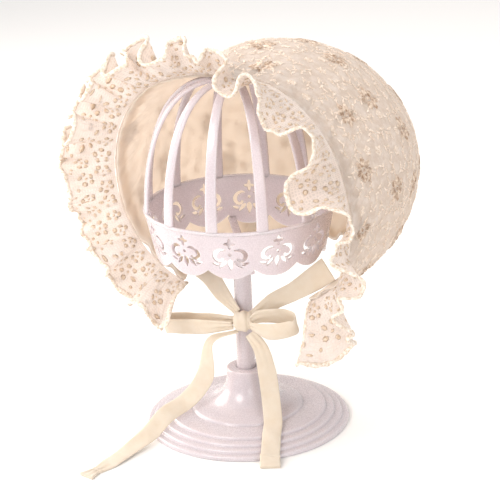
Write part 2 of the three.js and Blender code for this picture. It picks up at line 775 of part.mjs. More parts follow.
/** A row over the base or the table: distance and turn in plan, and height over it. */
function onBase(radius, turn, over, across) {
  const z = baseTop(radius) + TAPE_WALL / 2 + CLEARANCE + over;
  return row(radius * sin(rad(turn)), -radius * cos(rad(turn)), z, across);
}

function tailLeft() {
  return tape(
    [
      row(KNOT.x - 5, KNOT.y - 1, KNOT.z - 8.5, [0.9, -0.3, 0.2], 0.6),
      row(-14, -24, 68, [0.8, -0.6, 0], 0.8),
      row(-19, -27, 40, [0.7, -0.7, 0.1]),
      onBase(45, -43, 6, [0.6, -0.8, 0]),
      onBase(64, -36, 4, [0.6, -0.8, 0]),
      onBase(80, -32, 2.5, [0.8, -0.6, 0]),
      onBase(100, -27, 0, [0.95, -0.3, 0]),
      onBase(122, -23, 0, [1, -0.2, 0]),
      onBase(145, -20.5, 0, [1, -0.2, 0]),
    ],
    28,
  );
}

function tailRight() {
  return tape(
    [
      row(KNOT.x + 5, KNOT.y - 1, KNOT.z - 8.5, [1, 0.3, 0], 0.6),
      row(21, -13, 64, [0.8, 0.6, 0], 0.8),
      row(27, -15, 46, [0.8, 0.6, 0]),
      onBase(34, 62, 9, [0.8, 0.6, 0]),
      onBase(45, 55, 2.5, [0.8, 0.6, 0]),
      onBase(58, 48, 2, [0.8, 0.6, 0]),
      onBase(71, 44, 2, [0.8, 0.6, 0]),
      onBase(80, 42, 3, [0.8, 0.6, 0]),
      onBase(88, 41, 0, [0.8, 0.6, 0]),
    ],
    28,
  );
}

function bowKnot() {
  return new THREE.SphereGeometry(0.5, 12, 8)
    .scale(KNOT_SIZE.across, KNOT_SIZE.deep, KNOT_SIZE.high)
    .rotateZ(rad(KNOT_TURN))
    .translate(KNOT.x, KNOT.y, KNOT.z);
}

// Group

const finish = (color, roughness) => new THREE.MeshStandardMaterial({ color, roughness });
const plastic = finish(0xf0e9f0, 0.25);
const shellCloth = finish(0xeaddd0, 0.9);
const liningCloth = finish(0xf2e2cc, 0.95);
const netCloth = finish(0xf4eeea, 0.9);
const tapeCloth = finish(0xf3e3c8, 0.9);

const bonnet = new THREE.Group();
bonnet.add(
  mesh("stand_base", standBase(), plastic),
  mesh("stand_pole", standPole(), plastic),
  mesh("stand_cage", standCage(), plastic),
  mesh("bonnet_crown", clothShell(0, CROWN_WALL), shellCloth),
  mesh("bonnet_lining", clothShell(LINING_OUTER, LINING_INNER), liningCloth),
  mesh("front_ruffle", frontRuffle(), netCloth),
  mesh("tie_left", tieLeft(), tapeCloth),
  mesh("tie_right", tieRight(), tapeCloth),
  mesh("bow_loop_left", bowLoop(-1, 66, 11, 1.5), tapeCloth),
  mesh("bow_loop_right", bowLoop(1, 46, -7, 4.5), tapeCloth),
  mesh("bow_knot", bowKnot(), tapeCloth),
  mesh("tie_tail_left", tailLeft(), tapeCloth),
  mesh("tie_tail_right", tailRight(), tapeCloth),
);

export default bonnet;
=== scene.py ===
"""A baby bonnet on a display stand: its looks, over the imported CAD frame.

Sizes are in millimetres and degrees, the same as in the part's source, and become metres
where a mesh is made. The bonnet faces -Y, and turns round its opening start at the top
and grow towards +X.
"""
import logging
import math
from dataclasses import dataclass, field
from enum import Enum

import bpy
import numpy as np
from mathutils import Matrix
from mathutils.geometry import delaunay_2d_cdt


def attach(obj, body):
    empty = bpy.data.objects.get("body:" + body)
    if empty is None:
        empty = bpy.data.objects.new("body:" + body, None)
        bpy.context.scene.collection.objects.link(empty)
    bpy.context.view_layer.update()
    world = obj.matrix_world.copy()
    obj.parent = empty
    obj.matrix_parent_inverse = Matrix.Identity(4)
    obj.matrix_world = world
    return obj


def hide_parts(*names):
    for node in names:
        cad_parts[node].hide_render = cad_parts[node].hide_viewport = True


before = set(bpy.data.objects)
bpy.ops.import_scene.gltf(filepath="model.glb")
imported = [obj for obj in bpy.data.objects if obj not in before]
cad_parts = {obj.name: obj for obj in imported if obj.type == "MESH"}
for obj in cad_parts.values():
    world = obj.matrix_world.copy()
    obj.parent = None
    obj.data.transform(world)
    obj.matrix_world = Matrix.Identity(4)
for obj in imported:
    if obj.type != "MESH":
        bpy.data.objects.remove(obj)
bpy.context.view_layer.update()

MM = 0.001
WAVE_BAND = 0.314  # width of one band of the wave texture at a scale of 1
Array = np.ndarray
log = logging.getLogger("bonnet")


class Facing(Enum):
    """Which way a closed shell's first layer of faces is wound."""

    OUT = 1
    IN = -1


# Shader helpers


def linear(code: str) -> tuple[float, float, float, float]:
    """Turns an sRGB hex colour into the linear colour that shaders work in.

    Args:
        code: Six hex digits, such as "F1E6DC".

    Returns:
        Red, green, blue and an alpha of 1, all linear.
    """
    parts = [int(code[i : i + 2], 16) / 255 for i in (0, 2, 4)]
    out = [c / 12.92 if c <= 0.04045 else ((c + 0.055) / 1.055) ** 2.4 for c in parts]
    return (out[0], out[1], out[2], 1.0)


def add_node(
    tree: bpy.types.NodeTree,
    kind: str,
    settings: dict | None = None,
    links: dict | None = None,
) -> bpy.types.Node:
    """Adds a shader node with its settings and the links into it.

    Args:
        tree: The material's node tree.
        kind: The node's type, such as "ShaderNodeTexNoise".
        settings: Values by the name of a property, or by the name or number of an input.
        links: Output sockets by the name or number of the input that each one feeds.

    Returns:
        The new node.
    """
    node = tree.nodes.new(kind)
    for key, value in (settings or {}).items():
        if isinstance(key, str) and key not in node.inputs:
            setattr(node, key, value)
        else:
            node.inputs[key].default_value = value
    for key, socket in (links or {}).items():
        tree.links.new(socket, node.inputs[key])
    return node


def new_tree(name: str) -> tuple[bpy.types.Material, bpy.types.NodeTree]:
    """Makes an empty node material.

    Args:
        name: The material's name.

    Returns:
        The material and its node tree.
    """
    made = bpy.data.materials.new(name)
    made.use_nodes = True
    made.node_tree.nodes.clear()
    return made, made.node_tree


@dataclass(frozen=True)
class MouldedPolystyrene:
    """Glossy injection-moulded polystyrene, white with a trace of lilac.

    It gives the eye soft-edged highlights, a faint glow at thin edges, and the slight
    waviness that a moulded skin has. Its second colour is the plastic as it looks in
    shade, painted into the hollows of the swells as painted shade.
    """

    colour: str = "D3CACD"
    # the plastic as it looks in shade: painted shade
    painted_shade: str = "C8BEC3"
    roughness: float = 0.26
    ior: float = 1.59
    waviness: float = 24.0  # mm across one swell of the skin
    polish: float = 0.8  # mm between polish marks; real ones are 0.2, drawn coarser to show

    def build(self) -> bpy.types.Material:
        """Builds the material."""
        made, tree = new_tree("moulded_polystyrene")
        place = add_node(tree, "ShaderNodeTexCoord").outputs["Object"]
        cloud = add_node(
            tree,
            "ShaderNodeTexNoise",
            {"Scale": 1 / (self.waviness * MM), "Detail": 3.0},
            {"Vector": place},
        )
        # Painted shade: where the swell noise is low, which the bump makes the hollows, the colour
        # turns to the shade colour.
        tint = add_node(
            tree,
            "ShaderNodeMix",
            {"data_type": "RGBA", 6: linear(self.painted_shade), 7: linear(self.colour)},
            {0: cloud.outputs[0]},
        )
        skin = add_node(
            tree,
            "ShaderNodeTexNoise",
            {"Scale": 1 / (self.polish * MM), "Detail": 2.0},
            {"Vector": place},
        )
        rough = add_node(
            tree,
            "ShaderNodeMapRange",
            {
                "From Min": 0.3,
                "From Max": 0.7,
                "To Min": self.roughness - 0.05,
                "To Max": self.roughness + 0.07,
            },
            {"Value": skin.outputs[0]},
        )
        swell = add_node(
            tree,
            "ShaderNodeBump",
            {"Strength": 0.12, "Distance": 0.6 * MM},
            {"Height": cloud.outputs[0]},
        )
        shader = add_node(
            tree,
            "ShaderNodeBsdfPrincipled",
            {
                "IOR": self.ior,
                "Coat Weight": 0.25,
                "Coat Roughness": 0.12,
                "Subsurface Weight": 0.65,
                "Subsurface Radius": (1.0, 0.9, 0.88),
                "Subsurface Scale": 0.005,
            },
            {
                "Base Color": tint.outputs[2],
                "Roughness": rough.outputs[0],
                "Normal": swell.outputs[0],
            },
        )
        add_node(tree, "ShaderNodeOutputMaterial", None, {"Surface": shader.outputs[0]})
        return made


@dataclass(frozen=True)
class WovenCotton:
    """Plain-woven cotton lawn, brushed soft.

    It gives the eye a matt cream with a fine cross of threads, slubs, and light that
    passes through it warm. Its second colour is painted shade, which darkens the cloth
    where the bump is low, in the gaps of the weave and the hollows between slubs.
    """

    name: str
    colour: str
    # the cloth as it looks in shade: painted shade in the hollows of the weave and slubs
    painted_shade: str
    glow: str  # colour of the light that comes through
    thread: float = 0.85  # mm between threads; real lawn is 0.35, drawn coarser to show
    relief: float = 0.16  # mm
    sheer: float = 0.22  # share of the light that passes through
    slub: float = 9.0  # mm between slubs, whose hollows the painted shade darkens
    mottle: float = 0.3  # how soon the painted shade turns: less is more even

    def build(self) -> bpy.types.Material:
        """Builds the material."""
        made, tree = new_tree(self.name)
        coord = add_node(tree, "ShaderNodeTexCoord")
        across, along = (
            add_node(
                tree,
                "ShaderNodeTexWave",
                {
                    "bands_direction": bands,
                    "Scale": WAVE_BAND / self.thread,
                    "Distortion": 0.6,
                    "Detail": 1.0,
                    "Detail Scale": 0.6,
                },
                {"Vector": coord.outputs["UV"]},
            )
            for bands in "XY"
        )
        weave = add_node(
            tree,
            "ShaderNodeMath",
            {"operation": "MULTIPLY"},
            {0: across.outputs[1], 1: along.outputs[1]},
        )
        tone = add_node(
            tree,
            "ShaderNodeTexNoise",
            {"Scale": 1 / (self.slub * MM), "Detail": 5.0, "Roughness": 0.6},
            {"Vector": coord.outputs["Object"]},
        )
        mixed = add_node(
            tree,
            "ShaderNodeMath",
            {"operation": "MULTIPLY_ADD", 1: 0.35},
            {0: weave.outputs[0], 2: tone.outputs[0]},
        )
        share = add_node(
            tree,
            "ShaderNodeMapRange",
            {"From Min": self.mottle, "From Max": 1.2 - self.mottle},
            {"Value": mixed.outputs[0]},
        )
        # Painted shade: the same height that drives the bump turns the colour to the shade colour
        # where it is low.
        tint = add_node(
            tree,
            "ShaderNodeMix",
            {"data_type": "RGBA", 6: linear(self.painted_shade), 7: linear(self.colour)},
            {0: share.outputs[0]},
        )
        bump = add_node(
            tree,
            "ShaderNodeBump",
            {"Strength": 0.5, "Distance": self.relief * MM},
            {"Height": mixed.outputs[0]},
        )
        face = add_node(
            tree,
            "ShaderNodeBsdfPrincipled",
            {"Roughness": 0.92, "IOR": 1.46, "Sheen Weight": 0.25, "Sheen Roughness": 0.5},
            {"Base Color": tint.outputs[2], "Normal": bump.outputs[0]},
        )
        through = add_node(
            tree,
            "ShaderNodeBsdfTranslucent",
            {"Color": linear(self.glow)},
            {"Normal": bump.outputs[0]},
        )
        both = add_node(
            tree,
            "ShaderNodeMixShader",
            {0: self.sheer},
            {1: face.outputs[0], 2: through.outputs[0]},
        )
        add_node(tree, "ShaderNodeOutputMaterial", None, {"Surface": both.outputs[0]})
        return made


@dataclass(frozen=True)
class EmbroideryThread:
    """Twisted mercerised cotton, laid in satin stitches.

    It gives the eye small bright ridges with darker gaps between them. The gaps' darker
    tone is painted shade and the plies' lighter tone a painted highlight, over the
    floss's own colour.
    """

    name: str
    # the floss with a painted highlight on its plies
    colour: str
    # the floss with painted shade in the gaps between its plies
    painted_shade: str
    ply: float = 1.1  # mm between plies of the twist; real thread is 0.3, drawn coarser

    def build(self) -> bpy.types.Material:
        """Builds the material."""
        made, tree = new_tree(self.name)
        place = add_node(tree, "ShaderNodeTexCoord").outputs["Object"]
        grain = add_node(
            tree,
            "ShaderNodeTexNoise",
            {"Scale": 1 / (self.ply * MM), "Detail": 2.0},
            {"Vector": place},
        )
        share = add_node(
            tree,
            "ShaderNodeMapRange",
            {"From Min": 0.35, "From Max": 0.65},
            {"Value": grain.outputs[0]},
        )
        # Painted highlight and shade: the grain that raises the plies in the bump paints them light
        # and the gaps between them dark.
        tint = add_node(
            tree,
            "ShaderNodeMix",
            {"data_type": "RGBA", 6: linear(self.painted_shade), 7: linear(self.colour)},
            {0: share.outputs[0]},
        )
        bump = add_node(
            tree,
            "ShaderNodeBump",
            {"Strength": 0.6, "Distance": 0.2 * MM},
            {"Height": grain.outputs[0]},
        )
        shader = add_node(
            tree,
            "ShaderNodeBsdfPrincipled",
            {"Roughness": 0.55, "IOR": 1.53, "Sheen Weight": 0.3, "Sheen Roughness": 0.35},
            {"Base Color": tint.outputs[2], "Normal": bump.outputs[0]},
        )
        add_node(tree, "ShaderNodeOutputMaterial", None, {"Surface": shader.outputs[0]})
        return made


@dataclass(frozen=True)
class CottonNet:
    """Fine cotton net, gathered.

    It gives the eye a milky half-sheer veil with a faint honeycomb, cool where single and
    cream where folds lie behind each other. Its shade colour is the tan painted shade of
    the fold valleys, laid in random clouds.
    """

    colour: str = "F3ECE8"
    # tan painted shade of the fold valleys
    painted_shade: str = "D8C6B8"
    glow: str = "E2D0C0"
    cell: float = 2.0  # mm; real net is 0.8, drawn coarser so that it shows
    open_share: float = 0.16  # how much of a cell lets the eye straight through

    def build(self) -> bpy.types.Material:
        """Builds the material."""
        made, tree = new_tree("cotton_net")
        coord = add_node(tree, "ShaderNodeTexCoord")
        cells = add_node(
            tree,
            "ShaderNodeTexVoronoi",
            {"feature": "DISTANCE_TO_EDGE", "Scale": 1 / self.cell, "Randomness": 0.35},
            {"Vector": coord.outputs["UV"]},
        )
        thread = add_node(
            tree,
            "ShaderNodeMapRange",
            {"From Min": 0.08, "From Max": 0.3, "To Min": 1.0, "To Max": 0.0},
            {"Value": cells.outputs["Distance"]},
        )
        # Clouds of painted shade, 11 mm across: the tan shade of the fold valleys, laid at random.
        tone = add_node(
            tree,
            "ShaderNodeTexNoise",
            {"Scale": 90.0, "Detail": 4.0},
            {"Vector": coord.outputs["Object"]},
        )
        tint = add_node(
            tree,
            "ShaderNodeMix",
            {"data_type": "RGBA", 6: linear(self.painted_shade), 7: linear(self.colour)},
            {0: tone.outputs[0]},
        )
        bump = add_node(
            tree,
            "ShaderNodeBump",
            {"Strength": 0.4, "Distance": 0.2 * MM},
            {"Height": thread.outputs[0]},
        )
        face = add_node(
            tree,
            "ShaderNodeBsdfPrincipled",
            {"Roughness": 0.9, "IOR": 1.46, "Sheen Weight": 0.2, "Sheen Roughness": 0.5},
            {"Base Color": tint.outputs[2], "Normal": bump.outputs[0]},
        )
        through = add_node(tree, "ShaderNodeBsdfTranslucent", {"Color": linear(self.glow)})
        cloth = add_node(
            tree, "ShaderNodeMixShader", {0: 0.22}, {1: face.outputs[0], 2: through.outputs[0]}
        )
        gap = add_node(
            tree,
            "ShaderNodeMapRange",
            {"From Min": 0.0, "From Max": 1.0, "To Min": self.open_share, "To Max": 0.0},
            {"Value": thread.outputs[0]},
        )
        clear = add_node(tree, "ShaderNodeBsdfTransparent")
        net = add_node(
            tree,
            "ShaderNodeMixShader",
            None,
            {0: gap.outputs[0], 1: cloth.outputs[0], 2: clear.outputs[0]},
        )
        add_node(tree, "ShaderNodeOutputMaterial", None, {"Surface": net.outputs[0]})
        return made


@dataclass(frozen=True)
class StudioPaper:
    """Seamless studio paper, plain and pale, which gives the eye nothing but soft shadows."""

    colour: str = "F7F6F5"

    def build(self) -> bpy.types.Material:
        """Builds the material."""
        made, tree = new_tree("studio_paper")
        place = add_node(tree, "ShaderNodeTexCoord").outputs["Object"]
        # The paper's tooth, drawn at 1.1 mm so that it shows.
        tooth = add_node(
            tree, "ShaderNodeTexNoise", {"Scale": 900.0, "Detail": 3.0}, {"Vector": place}
        )
        bump = add_node(
            tree,
            "ShaderNodeBump",
            {"Strength": 0.05, "Distance": 0.2 * MM},
            {"Height": tooth.outputs[0]},
        )
        shader = add_node(
            tree,
            "ShaderNodeBsdfPrincipled",
            {"Base Color": linear(self.colour), "Roughness": 0.8, "IOR": 1.5},
            {"Normal": bump.outputs[0]},
        )
        add_node(tree, "ShaderNodeOutputMaterial", None, {"Surface": shader.outputs[0]})
        return made


class Finishes:
    """The materials, each built once."""

    def __init__(self) -> None:
        """Builds the materials."""
        self.plastic = MouldedPolystyrene().build()
        # Each cloth's second colour is its painted shade, and its third the colour of the light
        # that comes through.
        self.crown_cloth = WovenCotton(
            "embroidered_cotton_lawn",
            "F8F1EC",
            "D6C8BC",
            "F8EFE6",
            sheer=0.45,
            slub=5.5,
            mottle=0.47,
            relief=1.1,
        ).build()
        self.lining_cloth = WovenCotton(
            "lining_cotton_lawn", "FFFBF6", "FFF5EA", "FFF8EE", sheer=0.6, slub=14.0
        ).build()
        self.tape_cloth = WovenCotton(
            "cotton_tape", "EADFD0", "E0D0BA", "EBDAC1", thread=0.7, relief=0.2, sheer=0.12
        ).build()
        self.net = CottonNet().build()
        # Each floss's first colour carries a painted highlight on its plies, and its second is
        # painted shade in the gaps between them.
        self.floss = EmbroideryThread("cream_floss", "F2E6DA", "D6C1AD").build()
        self.flower_floss = EmbroideryThread("oatmeal_floss", "EFE0D0", "AB8D74", ply=2.4).build()
        self.dot_floss = EmbroideryThread("tan_floss", "E2D0BC", "CBB093").build()
        self.cord = EmbroideryThread("edge_floss", "F6ECE1", "D3C0AB", ply=2.2).build()
        self.paper = StudioPaper().build()


# Mesh helpers


def make_piece(
    name: str,
    points: Array,
    faces: list | Array,
    finish: bpy.types.Material,
    flat: Array | None = None,
    smooth: bool = True,
) -> bpy.types.Object:
    """Makes a mesh object from points in millimetres.

    Args:
        name: The piece's name.
        points: One row of x, y and z per vertex.
        faces: Rows of vertex numbers.
        finish: The piece's material.
        flat: Place of each vertex on the flat cloth in millimetres, for the weave.
        smooth: Whether the faces are shaded smooth.

    Returns:
        The object, in the scene.
    """
    made = bpy.data.meshes.new(name)
    rows = faces.tolist() if isinstance(faces, np.ndarray) else faces
    made.from_pydata((np.asarray(points) * MM).tolist(), [], rows)
    if flat is not None:
        layer = made.uv_layers.new(name="flat")
        corners = np.empty(len(made.loops), dtype=np.int64)
        made.loops.foreach_get("vertex_index", corners)
        layer.data.foreach_set("uv", np.asarray(flat, dtype=np.float32)[corners].ravel())
    made.polygons.foreach_set("use_smooth", [smooth] * len(made.polygons))
    made.materials.append(finish)
    made.validate()
    made.update()
    piece = bpy.data.objects.new(name, made)
    bpy.context.scene.collection.objects.link(piece)
    return piece


def grid_faces(
    rows: int, cols: int, start: int = 0, wrap: bool = False, facing: Facing = Facing.OUT
) -> Array:
    """Quads of a grid of vertices.

    Args:
        rows: Number of rows of vertices.
        cols: Number of vertices in a row.
        start: Number of the first vertex.
        wrap: Whether the last column joins the first.
        facing: Which way the quads are wound.

    Returns:
        One row of four vertex numbers per quad.
    """
    across = cols if wrap else cols - 1
    i, j = np.meshgrid(np.arange(rows - 1), np.arange(across), indexing="ij")
    k = (j + 1) % cols
    near, far = i * cols, (i + 1) * cols
    quads = np.stack([near + j, far + j, far + k, near + k], axis=-1).reshape(-1, 4)
    return start + (quads if facing is Facing.OUT else quads[:, ::-1])


def tube_faces(rows: int, cols: int) -> list[list[int]]:
    """Faces of a tube of rows of vertices, closed at both ends."""
    last = (rows - 1) * cols
    ends = [list(range(cols)), [last + k for k in range(cols - 1, -1, -1)]]
    return grid_faces(rows, cols, wrap=True).tolist() + ends


def unit(rows: Array) -> Array:
    """Rows of x, y and z, or of x and y, brought to a length of 1."""
    return rows / np.maximum(np.linalg.norm(rows, axis=-1, keepdims=True), 1e-9)


def run_length(line: Array) -> Array:
    """Length along a line up to each of its points."""
    return np.concatenate([[0], np.cumsum(np.linalg.norm(np.diff(line, axis=0), axis=1))])


def both_sides(line: Array, across: Array, half: Array) -> Array:
    """Closed outline at half a width on either side of a flat line."""
    return np.vstack([line + across * half[:, None], (line - across * half[:, None])[::-1]])


def grid_normals(grid: Array) -> Array:
    """Unit normals of a grid of points."""
    return unit(np.cross(np.gradient(grid, axis=0), np.gradient(grid, axis=1)))


def read_table(at: Array, value: Array, x: Array) -> Array:
    """Reads a table smoothly and without overshoot, as the part's source does.

    Args:
        at: Rising places of the rows.
        value: Value of each row.
        x: Where to read it.

    Returns:
        The values at x.
    """
    slope = np.zeros(len(at))
    slope[1:-1] = (value[2:] - value[:-2]) / (at[2:] - at[:-2])
    x = np.clip(x, at[0], at[-1])
    i = np.clip(np.searchsorted(at, x, side="right") - 1, 0, len(at) - 2)
    span = at[i + 1] - at[i]
    t = (x - at[i]) / span
    t2 = t * t
    t3 = t2 * t
    return (
        value[i] * (2 * t3 - 3 * t2 + 1)
        + value[i + 1] * (3 * t2 - 2 * t3)
        + slope[i] * span * (t3 - 2 * t2 + t)
        + slope[i + 1] * span * (t3 - t2)
    )


def read_round(rows: Array, turn: Array) -> Array:
    """Reads a table of turn and reach that repeats every 360 degrees.

    Args:
        rows: Turn and reach of each row.
        turn: Turns from -180 to 180 degrees.

    Returns:
        The reaches.
    """
    before = rows[-1] + [-360, 0]
    after = rows[:2] + [360, 0]
    table = np.vstack([before, rows, after])
    return read_table(table[:, 0], table[:, 1], turn)


def smooth_step(x: Array | float, low: float, high: float) -> Array | float:
    """Rises smoothly from 0 at low to 1 at high."""
    t = np.clip((x - low) / (high - low), 0, 1)
    return t * t * (3 - 2 * t)


def spline(points: Array, count: int, extra: Array | None = None) -> tuple[Array, Array]:
    """Points along a centripetal Catmull-Rom curve, and other columns read along it.

    Args:
        points: The curve's points.
        count: How many points to return.
        extra: Columns that go with the points.

    Returns:
        The points on the curve and the columns at them.
    """
    n = len(points)
    ends = np.vstack([2 * points[0] - points[1], points, 2 * points[-1] - points[-2]])
    knots = np.concatenate([[0], np.cumsum(np.linalg.norm(np.diff(ends, axis=0), axis=1) ** 0.5)])
    out = []
    t = np.linspace(0, n - 1, count)
    which = np.clip(np.floor(t).astype(int), 0, n - 2)
    share = t - which
    for k, f in zip(which, share):
        p0, p1, p2, p3 = ends[k : k + 4]
        t0, t1, t2, t3 = knots[k : k + 4]
        u = t1 + (t2 - t1) * f
        a1 = (t1 - u) / (t1 - t0) * p0 + (u - t0) / (t1 - t0) * p1
        a2 = (t2 - u) / (t2 - t1) * p1 + (u - t1) / (t2 - t1) * p2
        a3 = (t3 - u) / (t3 - t2) * p2 + (u - t2) / (t3 - t2) * p3
        b1 = (t2 - u) / (t2 - t0) * a1 + (u - t0) / (t2 - t0) * a2
        b2 = (t3 - u) / (t3 - t1) * a2 + (u - t1) / (t3 - t1) * a3
        out.append((t2 - u) / (t2 - t1) * b1 + (u - t1) / (t2 - t1) * b2)
    columns = extra if extra is not None else np.zeros((n, 1))
    read = columns[which] * (1 - share[:, None]) + columns[which + 1] * share[:, None]
    return np.array(out), read


@dataclass
class Stitches:
    """Raised stitches, each a small ridge with four faces."""

    start: list = field(default_factory=list)
    end: list = field(default_factory=list)
    width: list = field(default_factory=list)

    def add(self, start: tuple[float, float], end: tuple[float, float], width: float) -> None:
        """Adds a stitch between two places on the flat cloth."""
        self.start.append(start)
        self.end.append(end)
        self.width.append(width)

    def turned(self, at: Array, turn: float, size: float = 1.0) -> "Stitches":
        """The same stitches turned, resized and moved on the flat cloth.

        Args:
            at: Where their middle goes.
            turn: Radians anticlockwise.
            size: Scale of the motif, not of the stitches' width.

        Returns:
            New stitches.
        """
        c, s = math.cos(turn), math.sin(turn)
        spin = np.array([[c, s], [-s, c]]) * size
        start, end = (list(np.asarray(places) @ spin + at) for places in (self.start, self.end))
        return Stitches(start, end, list(self.width))


def radial_flower(petals: int, inner: float, outer: float, strands: int) -> Stitches:
    """A flower of petals fanned in straight stitches.

    Args:
        petals: Number of petals.
        inner: Radius where the stitches start.
        outer: Radius of the petals' tips.
        strands: Stitches in a petal.

    Returns:
        The stitches, round 0, 0.
    """
    made = Stitches()
    for k in range(petals):
        for s in range(strands):
            across = (s + 0.5) / strands - 0.5
            a = 2 * math.pi * (k + across * 0.82) / petals
            reach = outer * (1 - 1.6 * across * across)
            start = (inner * math.cos(a), inner * math.sin(a))
            made.add(start, (reach * math.cos(a), reach * math.sin(a)), 1.05)
    for k in range(5):
        ray = np.array([math.cos(2 * math.pi * k / 5), math.sin(2 * math.pi * k / 5)])
        made.add(tuple(0.2 * ray), tuple(1.5 * ray), 1.3)
    return made


def leaf_spray(length: float, leaves: int, leaf: float) -> Stitches:
    """A curved stem of running stitches with satin leaves on both sides.

    Args:
        length: Length of the stem.
        leaves: Leaves on it, in turn on either side.
        leaf: Length of a leaf.

    Returns:
        The stitches, round 0, 0.
    """
    made = Stitches()
    bend = 0.22 * length

    def stem(t: float) -> Array:
        """The stem at a share of its length."""
        return np.array([(t - 0.5) * length, bend * math.sin(math.pi * t) - bend / 2])

    pieces = max(4, int(length / 2.4))
    for i in range(pieces):
        made.add(tuple(stem(i / pieces)), tuple(stem((i + 0.85) / pieces)), 0.7)
    for k in range(leaves):
        base = stem((k + 0.6) / leaves)
        side = 1 if k % 2 else -1
        a = math.atan2(0.5 - k / leaves, 1) + side * 0.85
        axis = np.array([math.cos(a), math.sin(a)])
        across = np.array([-axis[1], axis[0]])
        for s in range(5):
            t = 0.12 + 0.8 * s / 4
            half = leaf * 0.26 * math.sin(math.pi * min(t + 0.05, 1))
            middle = base + axis * leaf * t
            made.add(
                tuple(middle - across * half),
                tuple(middle + across * half + axis * 0.5),
                leaf / 4.2,
            )
    return made


def knot_cluster(count: int, ring: float, dot: float) -> Stitches:
    """A ring of small round knots.

    Args:
        count: Number of knots round the ring.
        ring: The ring's radius.
        dot: Width of a knot.

    Returns:
        The stitches, round 0, 0.
    """
    made = Stitches()
    for k in range(count):
        a = 2 * math.pi * k / count
        at = np.array([math.cos(a), math.sin(a)]) * ring
        made.add(tuple(at * (1 - dot / ring / 2)), tuple(at * (1 + dot / ring / 2)), dot)
    return made


def stitch_mesh(
    start: Array, end: Array, width: Array, normal: Array, height: float, under: float
) -> tuple[Array, Array]:
    """Ridges for stitches that lie on a surface.

    Args:
        start: Start of each stitch, in millimetres.
        end: End of each stitch.
        width: Width of each stitch.
        normal: The surface's normal at each stitch.
        height: How high the ridges stand.
        under: How far they show on the cloth's other side, or 0.

    Returns:
        Points and faces.
    """
    along = end - start
    middle = (start + end) / 2
    half = unit(np.cross(normal, along)) * width[:, None] / 2
    rings = [
        start,
        middle - along * 0.22 + half,
        middle + along * 0.22 + half,
        end,
        middle + along * 0.22 - half,
        middle - along * 0.22 - half,
        middle - along * 0.2 + normal * height,
        middle + along * 0.2 + normal * height,
    ]
    ridge = [(6, 0, 1), (6, 1, 2), (6, 2, 7), (7, 2, 3), (7, 3, 4), (7, 4, 5), (7, 5, 6), (6, 5, 0)]
    faces = list(ridge)
    if under:
        rings.append(middle - along * 0.2 - normal * under)
        rings.append(middle + along * 0.2 - normal * under)
        spare = {6: 8, 7: 9}
        faces += [tuple(spare.get(v, v) for v in face[::-1]) for face in ridge]
    size = len(rings)
    points = np.stack(rings, axis=1).reshape(-1, 3)
    count = len(start)
    table = (np.array(faces)[None, :, :] + (np.arange(count) * size)[:, None, None]).reshape(-1, 3)
    return points, table


# Sub-assemblies


